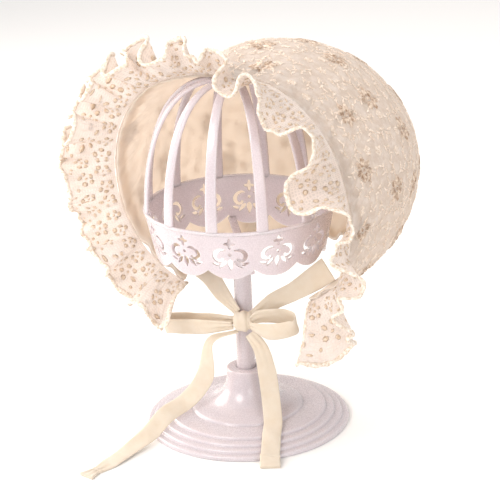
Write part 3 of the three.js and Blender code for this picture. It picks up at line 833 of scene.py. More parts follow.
@dataclass
class Stand:
    """The moulded stand: a stepped base, a pole, and a ribbed cage with a pierced band."""

    finishes: Finishes
    steps: tuple = ((75.0, 3.0), (70.0, 5.5), (64.5, 8.0), (58.0, 10.5), (41.0, 13.0))
    step_slope: float = 0.8
    tread_rise: float = 0.4
    step_soft: float = 1.4
    edge_soft: float = 0.5
    bell_inset: float = 5.0
    bell_rise: float = 1.2
    bell_parts: int = 24
    bell_radius: float = 14.5
    bell_height: float = 41.5
    collar_height: float = 4.0
    socket_depth: float = 18.0
    socket_play: float = 0.3
    axis_gap: float = 0.05  # a turned profile stops this short of the axis
    pole_bottom: float = 6.9
    pole_top: float = 6.4
    rim_radius: float = 68.6
    rim_height: float = 168.5
    band_depth: float = 36.0
    band_foot: float = 61.0
    band_wall: float = 2.2
    scallop_rise: float = 6.5
    scallop_power: float = 2.2
    fill_pitch: tuple = (1.7, 1.9)
    repeats: int = 12
    rib_turn: float = 15.0
    ornament_shift: float = -5.0
    scroll_spine: tuple = (
        (3.2, 22.6), (6.6, 22.9), (10.2, 21.0), (11.6, 17.6), (9.6, 14.6), (6.6, 14.6), (5.4, 16.6),
    )
    scroll_half: tuple = ((0, 0.35), (0.12, 1.1), (0.45, 1.75), (0.8, 1.25), (1, 1.15))
    leaves: tuple = (((2.9, 14.6), (8.8, 8.4), 1.5), ((8.4, 10.8), (14.4, 12.6), 1.15))
    star_up: float = 27.6
    eye_up: float = 19.2
    drop_up: float = 15.6
    drop_length: float = 8.6
    rib_foot: float = 8.6
    rib_head: float = 5.4
    rib_thickness: float = 2.8
    rib_bulge: float = 0.66
    disc_radius: float = 17.0
    disc_thickness: float = 2.4
    hub_radius: float = 10.5
    hub_height: float = 13.0
    hub_drop: float = 3.5
    hub_roof: float = 3.0
    hub_play: float = 0.4
    spoke_rise: float = 6.0
    spokes: int = 4
    spoke_width: float = 6.0
    spoke_thickness: float = 3.0
    cage_top: float = 261.1

    @property
    def hub_low(self) -> float:
        """Height of the hub's foot, a little under the band's."""
        return self.rim_height - self.band_depth - self.hub_drop

    @property
    def repeat_width(self) -> float:
        """Width of one repeat of the band, along its rim."""
        return 2 * math.pi * self.rim_radius / self.repeats

    def lathe(self, name: str, profile: list, sides: int) -> bpy.types.Object:
        """Turns a closed profile of radius and height round the Z axis.

        Args:
            name: The piece's name.
            profile: Rows of radius and height.
            sides: Faces round it.

        Returns:
            The piece.
        """
        rows = np.array(profile)
        a = np.linspace(0, 2 * math.pi, sides, endpoint=False)
        radius, height = rows[:, :1], np.repeat(rows[:, 1:], sides, axis=1)
        grid = np.stack([radius * np.cos(a), radius * np.sin(a), height], axis=-1).reshape(-1, 3)
        faces = grid_faces(len(rows) + 1, sides, wrap=True, facing=Facing.IN) % len(grid)
        return make_piece(name, grid, faces, self.finishes.plastic)

    def fillet(self, profile: list, radii: list) -> list:
        """Rounds the corners of a profile.

        Args:
            profile: Rows of radius and height.
            radii: How far each corner is cut back, or 0.

        Returns:
            The rounded profile.
        """
        out = []
        count = len(profile)
        parts = 4
        for i, (corner, cut) in enumerate(zip(profile, radii)):
            here = np.array(corner, dtype=float)
            if not cut:
                out.append(tuple(here))
                continue
            ends = []
            for other in (profile[i - 1], profile[(i + 1) % count]):
                leg = np.array(other, dtype=float) - here
                reach = np.linalg.norm(leg)
                ends.append(here + leg / reach * min(cut, reach * 0.45))
            a, b = ends
            for k in range(parts + 1):
                t = k / parts
                out.append(tuple(a * (1 - t) ** 2 + here * 2 * t * (1 - t) + b * t * t))
        return out

    def base(self) -> bpy.types.Object:
        """Builds the base with its softened steps and its hollow bell foot."""
        profile = [(self.axis_gap, 0.0), (self.steps[0][0], 0.0)]
        radii = [0.0, self.edge_soft]
        for i, (radius, height) in enumerate(self.steps[:-1]):
            if i:
                profile.append((radius, self.steps[i - 1][1] + self.tread_rise))
                radii.append(self.edge_soft)
            profile.append((radius - self.step_slope, height))
            radii.append(self.step_soft)
        foot_radius, foot_height = self.steps[-1]
        profile.append((foot_radius, self.steps[-2][1] + self.tread_rise))
        radii.append(0.6)
        profile.append((foot_radius - self.step_slope, foot_height - 0.3))
        radii.append(1.0)
        profile += self.bell(self.bell_parts)
        radii += [0.0] * self.bell_parts
        bore = self.pole_bottom + self.socket_play
        floor = self.bell_height - self.socket_depth
        profile += [(self.bell_radius, self.bell_height), (bore, self.bell_height)]
        profile += [(bore, floor), (self.axis_gap, floor)]
        radii += [1.1, self.edge_soft, 0.0, 0.0]
        return self.lathe("base_moulding", self.fillet(profile, radii), 160)

    def bell(self, parts: int) -> list[tuple[float, float]]:
        """Rows of radius and height up the hollow curve of the bell foot, in some parts."""
        foot_radius, foot_height = self.steps[-1]
        outer = foot_radius - self.bell_inset
        bottom = self.bell_height - self.collar_height
        rows = []
        for i in range(1, parts + 1):
            a = i / parts * math.pi / 2
            r = outer - (outer - self.bell_radius) * math.sin(a)
            rows.append((r, bottom - (bottom - foot_height - self.bell_rise) * math.cos(a)))
        return rows

    def pole(self) -> bpy.types.Object:
        """Builds the tapered pole with rounded ends."""
        low = self.bell_height - self.socket_depth + self.socket_play
        high = self.hub_low + self.hub_height - self.hub_roof - self.socket_play
        parts = 9
        profile = [(self.axis_gap, low), (self.pole_bottom, low)]
        for i in range(1, parts):
            t = i / parts
            radius = self.pole_bottom + (self.pole_top - self.pole_bottom) * t
            profile.append((radius, low + (high - low) * t))
        profile += [(self.pole_top, high), (self.axis_gap, high)]
        radii = [0.0, 0.8] + [0.0] * (parts - 1) + [0.8, 0.0]
        return self.lathe("pole_moulding", self.fillet(profile, radii), 64)

    def band_radius(self, height: Array) -> Array:
        """Radius of the band's outer face at heights."""
        t = np.clip((height - self.rim_height + self.band_depth) / self.band_depth, 0, 1)
        return self.band_foot + (self.rim_radius - self.band_foot) * t

    def scroll(self, side: int) -> Array:
        """One C-shaped scroll of the ornament, as a closed outline.

        Args:
            side: -1 for the left one, 1 for the right one.

        Returns:
            Rows of across and up, in millimetres from the scallop's lowest point.
        """
        count = 19
        line, _ = spline(np.array(self.scroll_spine), count)
        half = np.interp(np.linspace(0, 1, count), *zip(*self.scroll_half))
        along = unit(np.gradient(line, axis=0))
        out = np.stack([-along[:, 1], along[:, 0]], axis=1)
        return both_sides(line, out, half) * [side, 1]

    def ornament(self) -> list[Array]:
        """Outlines of the star, eye, drop, scrolls and leaves cut in one repeat, flat in mm."""
        turn = np.linspace(0, 2 * math.pi, 24, endpoint=False)
        star = np.stack([np.sin(turn), np.cos(turn)], axis=1)
        eye = star[::2] * 1.35 + [0, self.eye_up]
        star = star * (1.9 + 2.5 * np.abs(np.cos(2 * turn))[:, None] ** 2.2) + [0, self.star_up]
        t = np.linspace(0, 1, 9)
        half = 0.35 + 2.1 * np.sin(math.pi * t**0.75) ** 1.2 * (1 - 0.1 * t)
        stalk = np.stack([0 * t, self.drop_up - self.drop_length * t], axis=1)
        drop = both_sides(stalk, np.array([1.0, 0.0]), half)
        cuts = [star, eye, drop, self.scroll(-1), self.scroll(1)]
        for side in (-1, 1):
            for root, tip, wide in self.leaves:
                base = np.array(root) * [side, 1]
                axis = np.array(tip) * [side, 1] - base
                across = np.array([-axis[1], axis[0]]) / np.linalg.norm(axis)
                bulge = wide * np.sin(math.pi * t**0.8) + 0.12
                cuts.append(both_sides(base + axis * t[:, None], across, bulge))
        return cuts

    def scallop(self, x: Array | float) -> Array | float:
        """Rise of the band's scalloped lower edge, across one repeat."""
        return self.scallop_rise * np.abs(x / self.repeat_width * 2) ** self.scallop_power

    def band_mesh(self) -> tuple[Array, Array]:
        """Flat points and triangles of one repeat of the pierced and scalloped band."""
        wide = self.repeat_width
        x = np.linspace(-wide / 2, wide / 2, 41)
        edge = self.scallop(x)
        top = self.band_depth - 0.6
        right = np.linspace(edge[-1], top, 14)[1:-1]
        outline = np.vstack(
            [
                np.stack([x, edge], axis=1),
                np.stack([np.full_like(right, wide / 2), right], axis=1),
                np.stack([x[::-1], np.full_like(x, top)], axis=1),
                np.stack([np.full_like(right, -wide / 2), right[::-1]], axis=1),
            ]
        )
        loops = [outline] + self.ornament()
        points = [tuple(p) for loop in loops for p in loop]
        edges = []
        start = 0
        for loop in loops:
            count = len(loop)
            edges += [(start + k, start + (k + 1) % count) for k in range(count)]
            start += count
        pitch_x, pitch_z = self.fill_pitch
        fill_x = np.arange(-wide / 2 + 1.3, wide / 2 - 0.6, pitch_x)
        fill_z = np.arange(1.4, top - 0.8, pitch_z)
        for pz in fill_z:
            points += [(float(px), float(pz)) for px in fill_x if pz > self.scallop(px) + 0.8]
        verts, _, tris, _, _, _ = delaunay_2d_cdt(points, edges, [], 0, 1e-4)
        flat = np.array([tuple(v) for v in verts])
        kept = [t for t in tris if self.in_cloth(flat[list(t)].mean(axis=0), loops)]
        return flat, np.array(kept)

    def in_cloth(self, at: Array, loops: list[Array]) -> bool:
        """Whether a place is on the band and in none of its cuts."""
        inside = [self.in_loop(at, loop) for loop in loops]
        return inside[0] and not any(inside[1:])

    def in_loop(self, at: Array, loop: Array) -> bool:
        """Whether a place is inside a closed outline."""
        a = loop
        b = np.roll(loop, -1, axis=0)
        spans = (a[:, 1] > at[1]) != (b[:, 1] > at[1])
        drop = np.where(b[:, 1] == a[:, 1], 1e-9, b[:, 1] - a[:, 1])
        cross = a[:, 0] + (at[1] - a[:, 1]) / drop * (b[:, 0] - a[:, 0])
        return bool(np.sum(spans & (at[0] < cross)) % 2)

    def band(self) -> bpy.types.Object:
        """Builds the band, as one repeat bent round and copied, with moulded edges."""
        flat, tris = self.band_mesh()
        edges = np.sort(np.vstack([tris[:, [0, 1]], tris[:, [1, 2]], tris[:, [2, 0]]]), axis=1)
        unique, seen = np.unique(edges, axis=0, return_counts=True)
        wide = self.repeat_width
        rims = {tuple(e) for e in unique[seen == 1]}
        rims = {e for e in rims if not all(abs(abs(flat[v, 0]) - wide / 2) < 1e-3 for v in e)}
        count = len(flat)
        walls = []
        for tri in tris:
            for a, b in ((tri[0], tri[1]), (tri[1], tri[2]), (tri[2], tri[0])):
                if tuple(sorted((a, b))) in rims:
                    walls.append((b, a, a + count, b + count))
        points = []
        faces = []
        low = self.rim_height - self.band_depth
        height = flat[:, 1] + low
        for k in range(self.repeats):
            middle = self.rib_turn + self.ornament_shift + (k + 0.5) * 360 / self.repeats
            # The ornament is drawn as the eye meets it from outside, so it runs clockwise.
            turn = np.radians(middle) + flat[:, 0] / self.rim_radius
            start = k * count * 2
            for inset in (0.0, self.band_wall):
                radius = self.band_radius(height) - inset
                points.append(
                    np.stack([radius * np.cos(turn), radius * np.sin(turn), height], axis=1)
                )
            faces += (tris + start).tolist()
            faces += (tris[:, ::-1] + start + count).tolist()
            faces += [[v + start for v in wall] for wall in walls]
        piece = make_piece("band_moulding", np.vstack(points), faces, self.finishes.plastic)
        weld = piece.modifiers.new("weld", "WELD")
        weld.merge_threshold = 0.02 * MM
        soften = piece.modifiers.new("soften", "BEVEL")
        soften.width = 0.35 * MM
        soften.segments = 2
        soften.limit_method = "ANGLE"
        soften.angle_limit = math.radians(50)
        soften.harden_normals = True
        return piece

    def tube(
        self, line: Array, half: Array, thick: float, name: str, up: Array
    ) -> bpy.types.Object:
        """A bar of rounded section along a line.

        Args:
            line: Points of the bar's middle line.
            half: Half of its width at each point.
            thick: Its thickness.
            name: The piece's name.
            up: The direction in which its thickness is measured at each point.

        Returns:
            The piece.
        """
        side = unit(np.cross(np.gradient(line, axis=0), up))
        sides = 20
        a = np.linspace(0, 2 * math.pi, sides, endpoint=False)
        flat_x = np.sign(np.cos(a)) * np.abs(np.cos(a)) ** 0.55
        flat_y = np.sign(np.sin(a)) * np.abs(np.sin(a)) ** 0.75
        grid = (
            line[:, None, :]
            + side[:, None, :] * (flat_x[None, :] * half[:, None])[..., None]
            + up[:, None, :] * (flat_y * thick / 2)[None, :, None]
        )
        faces = tube_faces(len(line), sides)
        return make_piece(name, grid.reshape(-1, 3), faces, self.finishes.plastic)

    def ribs(self) -> list[bpy.types.Object]:
        """Builds the ribs from the rim to the crown disc."""
        a = np.linspace(0, 0.95, 40) * math.pi / 2
        radius = (self.rim_radius - self.rib_thickness / 2) * np.cos(a) ** self.rib_bulge
        top = self.cage_top - self.disc_thickness / 2
        height = (self.rim_height - 2) + (top - self.rim_height + 2) * np.sin(a)
        slope = unit(np.stack([np.gradient(radius), np.gradient(height)], axis=1))
        half = (self.rib_foot + (self.rib_head - self.rib_foot) * a / (math.pi / 2)) / 2
        made = []
        for k in range(self.repeats):
            turn = math.radians(self.rib_turn + k * 360 / self.repeats)
            out = np.array([math.cos(turn), math.sin(turn), 0])
            line = radius[:, None] * out + height[:, None] * [0, 0, 1]
            up = slope[:, 1:] * out - slope[:, :1] * [0, 0, 1]
            made.append(self.tube(line, half, self.rib_thickness, f"rib_{k + 1}", up))
        return made

    def rim(self) -> bpy.types.Object:
        """Builds the rounded lip along the top of the band."""
        section = []
        for a in np.linspace(0, 2 * math.pi, 16, endpoint=False):
            r = self.rim_radius - 1.1 + 1.45 * math.cos(a)
            section.append((r, self.rim_height - 1.3 + 1.35 * math.sin(a)))
        return self.lathe("rim_lip", section, 180)

    def top_disc(self) -> bpy.types.Object:
        """Builds the disc on which the lining rests."""
        low = self.cage_top - self.disc_thickness
        profile = [
            (self.axis_gap, low),
            (self.disc_radius - 0.6, low),
            (self.disc_radius, low + 0.7),
            (self.disc_radius - 1.2, self.cage_top - 0.5),
            (self.disc_radius - 2.6, self.cage_top),
            (self.axis_gap, self.cage_top),
        ]
        return self.lathe("top_disc", self.fillet(profile, [0, 0.4, 0.4, 0.4, 0.6, 0]), 72)

    def spider(self) -> list[bpy.types.Object]:
        """Builds the hub on the pole and the spokes that carry the band."""
        low = self.hub_low
        bore = self.pole_top + self.hub_play
        top = low + self.hub_height
        profile = [
            (self.axis_gap, top - self.hub_roof),
            (bore, top - self.hub_roof),
            (bore, low),
            (self.hub_radius, low),
            (self.hub_radius, top),
            (self.axis_gap, top),
        ]
        made = [self.lathe("hub_moulding", self.fillet(profile, [0, 0, 0.4, 0.9, 1.4, 0]), 64)]
        height = low + self.spoke_rise
        reach = float(self.band_radius(np.array(height))) - self.band_wall / 2
        for k in range(self.spokes):
            turn = math.radians(self.rib_turn + (k + 0.25) * 360 / self.spokes)
            out = np.array([math.cos(turn), math.sin(turn), 0])
            span = np.linspace(self.hub_radius - 1, reach, 12)
            line = span[:, None] * out + [0, 0, height + self.spoke_thickness / 2]
            up = np.tile([0.0, 0.0, 1.0], (len(span), 1))
            half = np.full_like(span, self.spoke_width / 2)
            made.append(self.tube(line, half, self.spoke_thickness, f"spoke_{k + 1}", up))
        return made

    def build(self) -> list[bpy.types.Object]:
        """Builds the stand and puts each piece in place of its solid."""
        base = self.base()
        pole = self.pole()
        band = self.band()
        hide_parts("stand_base")
        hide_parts("stand_pole")
        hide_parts("stand_cage")
        pieces = [base, pole, band, self.rim(), self.top_disc(), *self.ribs(), *self.spider()]
        for piece in pieces:
            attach(piece, "root")
        return pieces


@dataclass
class BonnetForm:
    """The one surface that the crown, the lining and the ruffle's root share."""

    opening_y: float = -12.0
    opening_z: float = 180.0
    opening: tuple = (
        (-180, 84), (-155, 85), (-130, 91), (-105, 96), (-80, 99), (-55, 98), (-28, 90),
        (0, 84.5), (30, 90), (60, 93), (85, 95), (105, 100), (120, 103), (140, 97),
    )
    crown_z: float = 168.0
    crown: tuple = (
        (-180, 84), (-135, 90), (-90, 98), (-45, 102), (0, 104.5), (45, 103), (90, 100), (135, 92),
    )
    dome_front: float = 48.0
    dome_depth: float = 132.0
    neck_front: float = 106.0
    neck_back: float = 101.0  # the hem hangs 9 mm under the source's edge at the back
    grid_y: float = 40.0
    grid_z: float = 172.0
    grid_tilt: float = 28.0
    gathers: tuple = (  # degrees round, depth and width in degrees of each one at the neck
        (118, 2.6, 6), (135, 3.4, 6), (152, 4.0, 6), (170, 2.8, 6), (193, 3.6, 7), (214, 2.6, 7),
    )
    tuck: float = 0.8  # mm, at the seams
    slack: float = 0.7  # mm, further in
    drape: float = 2.6  # mm, low on the back

    def field(self, p: Array) -> Array:
        """Under 1 inside the outer surface and over 1 outside it, at points."""
        share = smooth_step(p[..., 1], self.opening_y, self.dome_front)
        rise = p[..., 2] - (self.opening_z + (self.crown_z - self.opening_z) * share)
        turn = np.degrees(np.arctan2(p[..., 0], rise))
        front = read_round(np.array(self.opening, dtype=float), turn)
        back = read_round(np.array(self.crown, dtype=float), turn)
        across = np.hypot(p[..., 0], rise) / (front + (back - front) * share)
        return np.hypot(across, np.maximum(0, p[..., 1] - self.dome_front) / self.dome_depth)

    def axes(self) -> tuple[Array, Array, Array]:
        """Centre, axis and upward direction of the polar grid."""
        tilt = math.radians(self.grid_tilt)
        return (
            np.array([0, self.grid_y, self.grid_z]),
            np.array([0, math.cos(tilt), math.sin(tilt)]),
            np.array([0, -math.sin(tilt), math.cos(tilt)]),
        )

    def rays(self, turn: Array, away: Array) -> Array:
        """Directions of the grid's rays, for turns and degrees off its axis."""
        _, axis, up = self.axes()
        t = np.radians(turn)[..., None]
        a = np.radians(away)[..., None]
        side = np.sin(t) * [1.0, 0.0, 0.0] + np.cos(t) * up
        return axis * np.cos(a) + side * np.sin(a)

    def surface(self, turn: Array, away: Array) -> Array:
        """Where the grid's rays leave the outer surface."""
        rays = self.rays(turn, away)
        origin = self.axes()[0]
        near = np.zeros(rays.shape[:-1])
        far = np.full(rays.shape[:-1], 220.0)
        for _ in range(26):
            middle = (near + far) / 2
            inside = self.field(origin + rays * middle[..., None]) < 1
            near = np.where(inside, middle, near)
            far = np.where(inside, far, middle)
        return origin + rays * near[..., None]

    def edge(self, turn: Array) -> Array:
        """Degrees off the grid's axis at which the cloth ends, for turns."""
        near = np.full(turn.shape, 10.0)
        far = np.full(turn.shape, 175.0)
        for _ in range(26):
            middle = (near + far) / 2
            p = self.surface(turn, middle)
            neck = self.neck_front + (self.neck_back - self.neck_front) * smooth_step(
                p[..., 1], self.opening_y, 120
            )
            inside = np.minimum(p[..., 1] - self.opening_y, p[..., 2] - neck) > 0
            near = np.where(inside, middle, near)
            far = np.where(inside, far, middle)
        return near

    def normal(self, p: Array) -> Array:
        """Outward normals of the surface at points on it."""
        parts = []
        for k in range(3):
            step = np.zeros(3)
            step[k] = 0.5
            parts.append(self.field(p + step) - self.field(p - step))
        return unit(np.stack(parts, axis=-1))

    def folds(self, turn: Array, share: Array) -> Array:
        """Height of the soft folds over the surface, at turns and shares of the way out.

        Args:
            turn: Degrees round the grid's axis.
            share: 0 at the axis, 1 at the cloth's edge.

        Returns:
            Millimetres, negative in a hollow.
        """
        around = np.mod(turn, 360)
        height = np.zeros(np.broadcast(turn, share).shape)
        for at, depth, width in self.gathers:
            fall = np.exp(-(((around - at) / width) ** 2))
            height = height - depth * fall * smooth_step(share, 0.45, 1)
        t = np.radians(turn)
        # Small tucks where the cloth is drawn onto the seams, and slack waves further in.
        fine = np.sin(93 * t + 2 * np.sin(3 * t)) * 0.45
        tuck = np.sin(57 * t + 1.1 * np.sin(5 * t)) * self.tuck + fine
        height = height + tuck * smooth_step(share, 0.8, 0.93) * smooth_step(share, 1.02, 0.95)
        slack = np.sin(7 * t + 6 * share) * self.slack + np.sin(13 * t - 4 * share + 1) * 0.4
        height = height + slack * smooth_step(share, 0.15, 0.6)
        lower = smooth_step(np.cos(t), 0.2, -0.7)
        drape = np.sin(21 * t + 2.5 * np.sin(4 * t)) * self.drape + np.sin(41 * t + 1.7)
        return height + drape * lower * smooth_step(share, 0.3, 0.85)

    def point(
        self, turn: Array, away: Array, share: Array, lift: Array | float
    ) -> tuple[Array, Array]:
        """Points over the folded surface, and its normals.

        Args:
            turn: Degrees round the grid's axis.
            away: Degrees off the grid's axis.
            share: The same as a share of the way to the cloth's edge.
            lift: Height over the surface, in millimetres.

        Returns:
            Points and normals.
        """
        on = self.surface(turn, away)
        normal = self.normal(on)
        return on + normal * (self.folds(turn, share) + lift)[..., None], normal


@dataclass
class Crown:
    """The outer shell of cotton lawn and its all-over embroidery."""

    finishes: Finishes
    form: BonnetForm
    wall: float = 1.2
    sectors: int = 300
    rows: int = 84
    hem_rows: int = 5
    flat_degree: float = 1.75  # mm of flat cloth for a degree off the axis
    spots: int = 620
    spot_reach: float = 1.62
    flower_gap: float = 35.0
    flower_limit: float = 0.95  # share of the way to the cloth's edge
    spray_gap: float = 9.5
    spray_limit: float = 0.985
    flower_height: float = 0.9
    spray_height: float = 0.5
    seed: int = 11

    def shell(
        self,
        name: str,
        outer: float,
        inner: float,
        finish: bpy.types.Material,
        sectors: int,
        rows: int,
        shown: Facing,
    ) -> tuple[bpy.types.Object, float]:
        """A layer of the cloth between two insets, with a turned-in hem.

        Args:
            name: The piece's name.
            outer: Inset of its outer face.
            inner: Inset of its inner face.
            finish: Its material.
            sectors: Faces round the axis.
            rows: Faces from the axis to the edge.
            shown: Which of its faces shows, the outer or the inner.

        Returns:
            The piece and its area in square metres.
        """
        turn = np.linspace(0, 360, sectors, endpoint=False)
        limit = self.form.edge(turn)
        share = np.linspace(0, 1, rows + 1)[1:]
        grid_turn = np.tile(turn, (rows, 1))
        grid_share = np.repeat(share[:, None], sectors, axis=1)
        away = limit[None, :] * grid_share
        middle = np.zeros(1)
        points = []
        for inset in (outer, inner):
            face, _ = self.form.point(grid_turn, away, grid_share, np.full(away.shape, -inset))
            pole, _ = self.form.point(middle, middle + 0.01, middle, middle - inset)
            points += [pole, face.reshape(-1, 3)]
        reach = away * self.flat_degree
        angle = np.radians(grid_turn)
        flat = np.stack([reach * np.cos(angle), reach * np.sin(angle)], axis=-1).reshape(-1, 2)
        flat = np.tile(np.vstack([[0, 0], flat]), (2, 1))
        # Only the face that shows is whole. The other is a turned-in hem along the edge, so
        # that the light passes one layer of cloth, as it does in the real one.
        whole_out = shown is Facing.OUT
        hem = rows - self.hem_rows
        first, second = (0, hem) if whole_out else (hem, 0)
        one = 1 + rows * sectors
        cap = [[0, 1 + (s + 1) % sectors, 1 + s] for s in range(sectors)]
        faces = list(cap) if whole_out else []
        start = 1 + first * sectors
        faces += grid_faces(rows - first, sectors, start, True, Facing.IN).tolist()
        if not whole_out:
            faces += [[v + one for v in f[::-1]] for f in cap]
        start = 1 + one + second * sectors
        faces += grid_faces(rows - second, sectors, start, True, Facing.OUT).tolist()
        last = 1 + (rows - 1) * sectors
        for s in range(sectors):
            n = (s + 1) % sectors
            faces.append([last + s, last + n, one + last + n, one + last + s])
        used, corner = np.unique(np.concatenate(faces), return_inverse=True)
        ends = np.cumsum([len(f) for f in faces])
        faces = [part.tolist() for part in np.split(corner.ravel(), ends[:-1])]
        piece = make_piece(name, np.vstack(points)[used], faces, finish, flat[used])
        return piece, sum(p.area for p in piece.data.polygons)

    def layout(self) -> list[tuple[float, float, bool]]:
        """Places of the motifs: turn, degrees off the axis, and whether it is a flower."""
        golden = 180 * (3 - math.sqrt(5))
        rise = [1 - (k + 0.5) / self.spots * self.spot_reach for k in range(self.spots)]
        turn = np.array([(k * golden) % 360 for k in range(self.spots)])
        away = np.array([math.degrees(math.acos(r)) for r in rise])
        share = away / self.form.edge(turn)
        place = self.form.surface(turn, away)

        def clear(k: int, others: list[int], gap: float) -> bool:
            """Whether a spot is further than a gap from all the others."""
            return all(np.linalg.norm(place[k] - place[f]) > gap for f in others)

        flowers: list[int] = []
        sprays: list[int] = []
        order = np.random.default_rng(self.seed).permutation(self.spots)
        for k in order:
            if share[k] <= self.flower_limit and clear(k, flowers, self.flower_gap):
                flowers.append(int(k))
        for k in order:
            if share[k] > self.spray_limit or k in flowers:
                continue
            if clear(k, flowers, self.spray_gap + 2) and clear(k, sprays, self.spray_gap):
                sprays.append(int(k))
        kinds = ((flowers, True), (sprays, False))
        return [(turn[k], away[k], is_flower) for spots, is_flower in kinds for k in spots]

    def project(self, centre: Array, normal: Array, flat: Array) -> tuple[Array, Array]:
        """Lays places of a flat motif on the folded cloth.

        Args:
            centre: The motif's middle on the cloth.
            normal: The cloth's normal there.
            flat: Places on the flat motif.

        Returns:
            Turns and degrees off the axis.
        """
        origin, axis, up = self.form.axes()
        right = np.cross([0.0, 0.0, 1.0], normal)
        right /= max(np.linalg.norm(right), 1e-6)
        over = np.cross(normal, right)
        at = centre + flat[:, :1] * right + flat[:, 1:] * over - origin
        ray = at / np.linalg.norm(at, axis=1, keepdims=True)
        away = np.degrees(np.arccos(np.clip(ray @ axis, -1, 1)))
        turn = np.mod(np.degrees(np.arctan2(ray[:, 0], ray @ up)), 360)
        return turn, away

    def embroidery(self, name: str, flowers: bool, finish: bpy.types.Material) -> bpy.types.Object:
        """Builds the stitches of the flowers, or of the sprays and small blossoms.

        Args:
            name: The piece's name.
            flowers: Whether it is the flowers.
            finish: The thread.

        Returns:
            The piece.
        """
        rng = np.random.default_rng(self.seed)
        flower = radial_flower(7, 2.4, 11.5, 5)
        small = radial_flower(5, 1.2, 4.4, 3)
        sprays = [leaf_spray(15, 5, 4.6), leaf_spray(12, 4, 5.2), leaf_spray(18, 6, 3.8)]
        middle = np.zeros(2)
        starts = []
        ends = []
        widths = []
        for turn, away, is_flower in self.layout():
            if is_flower is not flowers:
                continue
            at, normal = self.form.point(np.array([turn]), np.array([away]), np.array([0.3]), 0.0)
            kind = 0 if flowers else int(rng.integers(0, 5))
            if flowers:
                motif = flower.turned(middle, rng.uniform(0, 1), rng.uniform(0.9, 1.08))
            elif kind:
                spin = rng.uniform(0, 2 * math.pi)
                motif = sprays[kind % 3].turned(middle, spin, rng.uniform(0.8, 1.05))
            else:
                motif = small.turned(middle, rng.uniform(0, 6))
            for places, out in ((motif.start, starts), (motif.end, ends)):
                out.append(np.stack(self.project(at[0], normal[0], np.asarray(places)), axis=1))
            widths += motif.width
        first, lifted, first_share = self.on_cloth(np.vstack(starts))
        last, _, last_share = self.on_cloth(np.vstack(ends))
        keep = (first_share < self.spray_limit) & (last_share < self.spray_limit)
        height = self.flower_height if flowers else self.spray_height
        points, faces = stitch_mesh(
            first[keep], last[keep], np.array(widths)[keep], lifted[keep], height, 0.0
        )
        return make_piece(name, points, faces, finish, smooth=False)

    def on_cloth(self, places: Array) -> tuple[Array, Array, Array]:
        """Points just over the cloth, normals and shares, for rows of turn and away."""
        limit = self.form.edge(places[:, 0])
        share = places[:, 1] / limit
        points, normal = self.form.point(places[:, 0], places[:, 1], share, 0.2)
        return points, normal, share

    def build(self) -> list[bpy.types.Object]:
        """Builds the shell and its embroidery."""
        cloth = self.finishes.crown_cloth
        shell, area = self.shell(
            "crown_cloth", 0.0, self.wall, cloth, self.sectors, self.rows, Facing.OUT
        )
        flowers = self.embroidery("crown_flowers", True, self.finishes.flower_floss)
        sprays = self.embroidery("crown_sprays", False, self.finishes.floss)
        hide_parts("bonnet_crown")
        for piece in (shell, flowers, sprays):
            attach(piece, "root")
        log.info("crown area %.4f m2", area)
        return [shell, flowers, sprays]


@dataclass
class Lining:
    """The plain lining that rests on the cage."""

    finishes: Finishes
    crown: Crown
    outer: float = 1.5
    inner: float = 2.5

    def build(self) -> list[bpy.types.Object]:
        """Builds the lining."""
        piece, area = self.crown.shell(
            "lining_cloth", self.outer, self.inner, self.finishes.lining_cloth, 240, 64, Facing.IN
        )
        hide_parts("bonnet_lining")
        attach(piece, "root")
        log.info("lining area %.4f m2", area)
        return [piece]


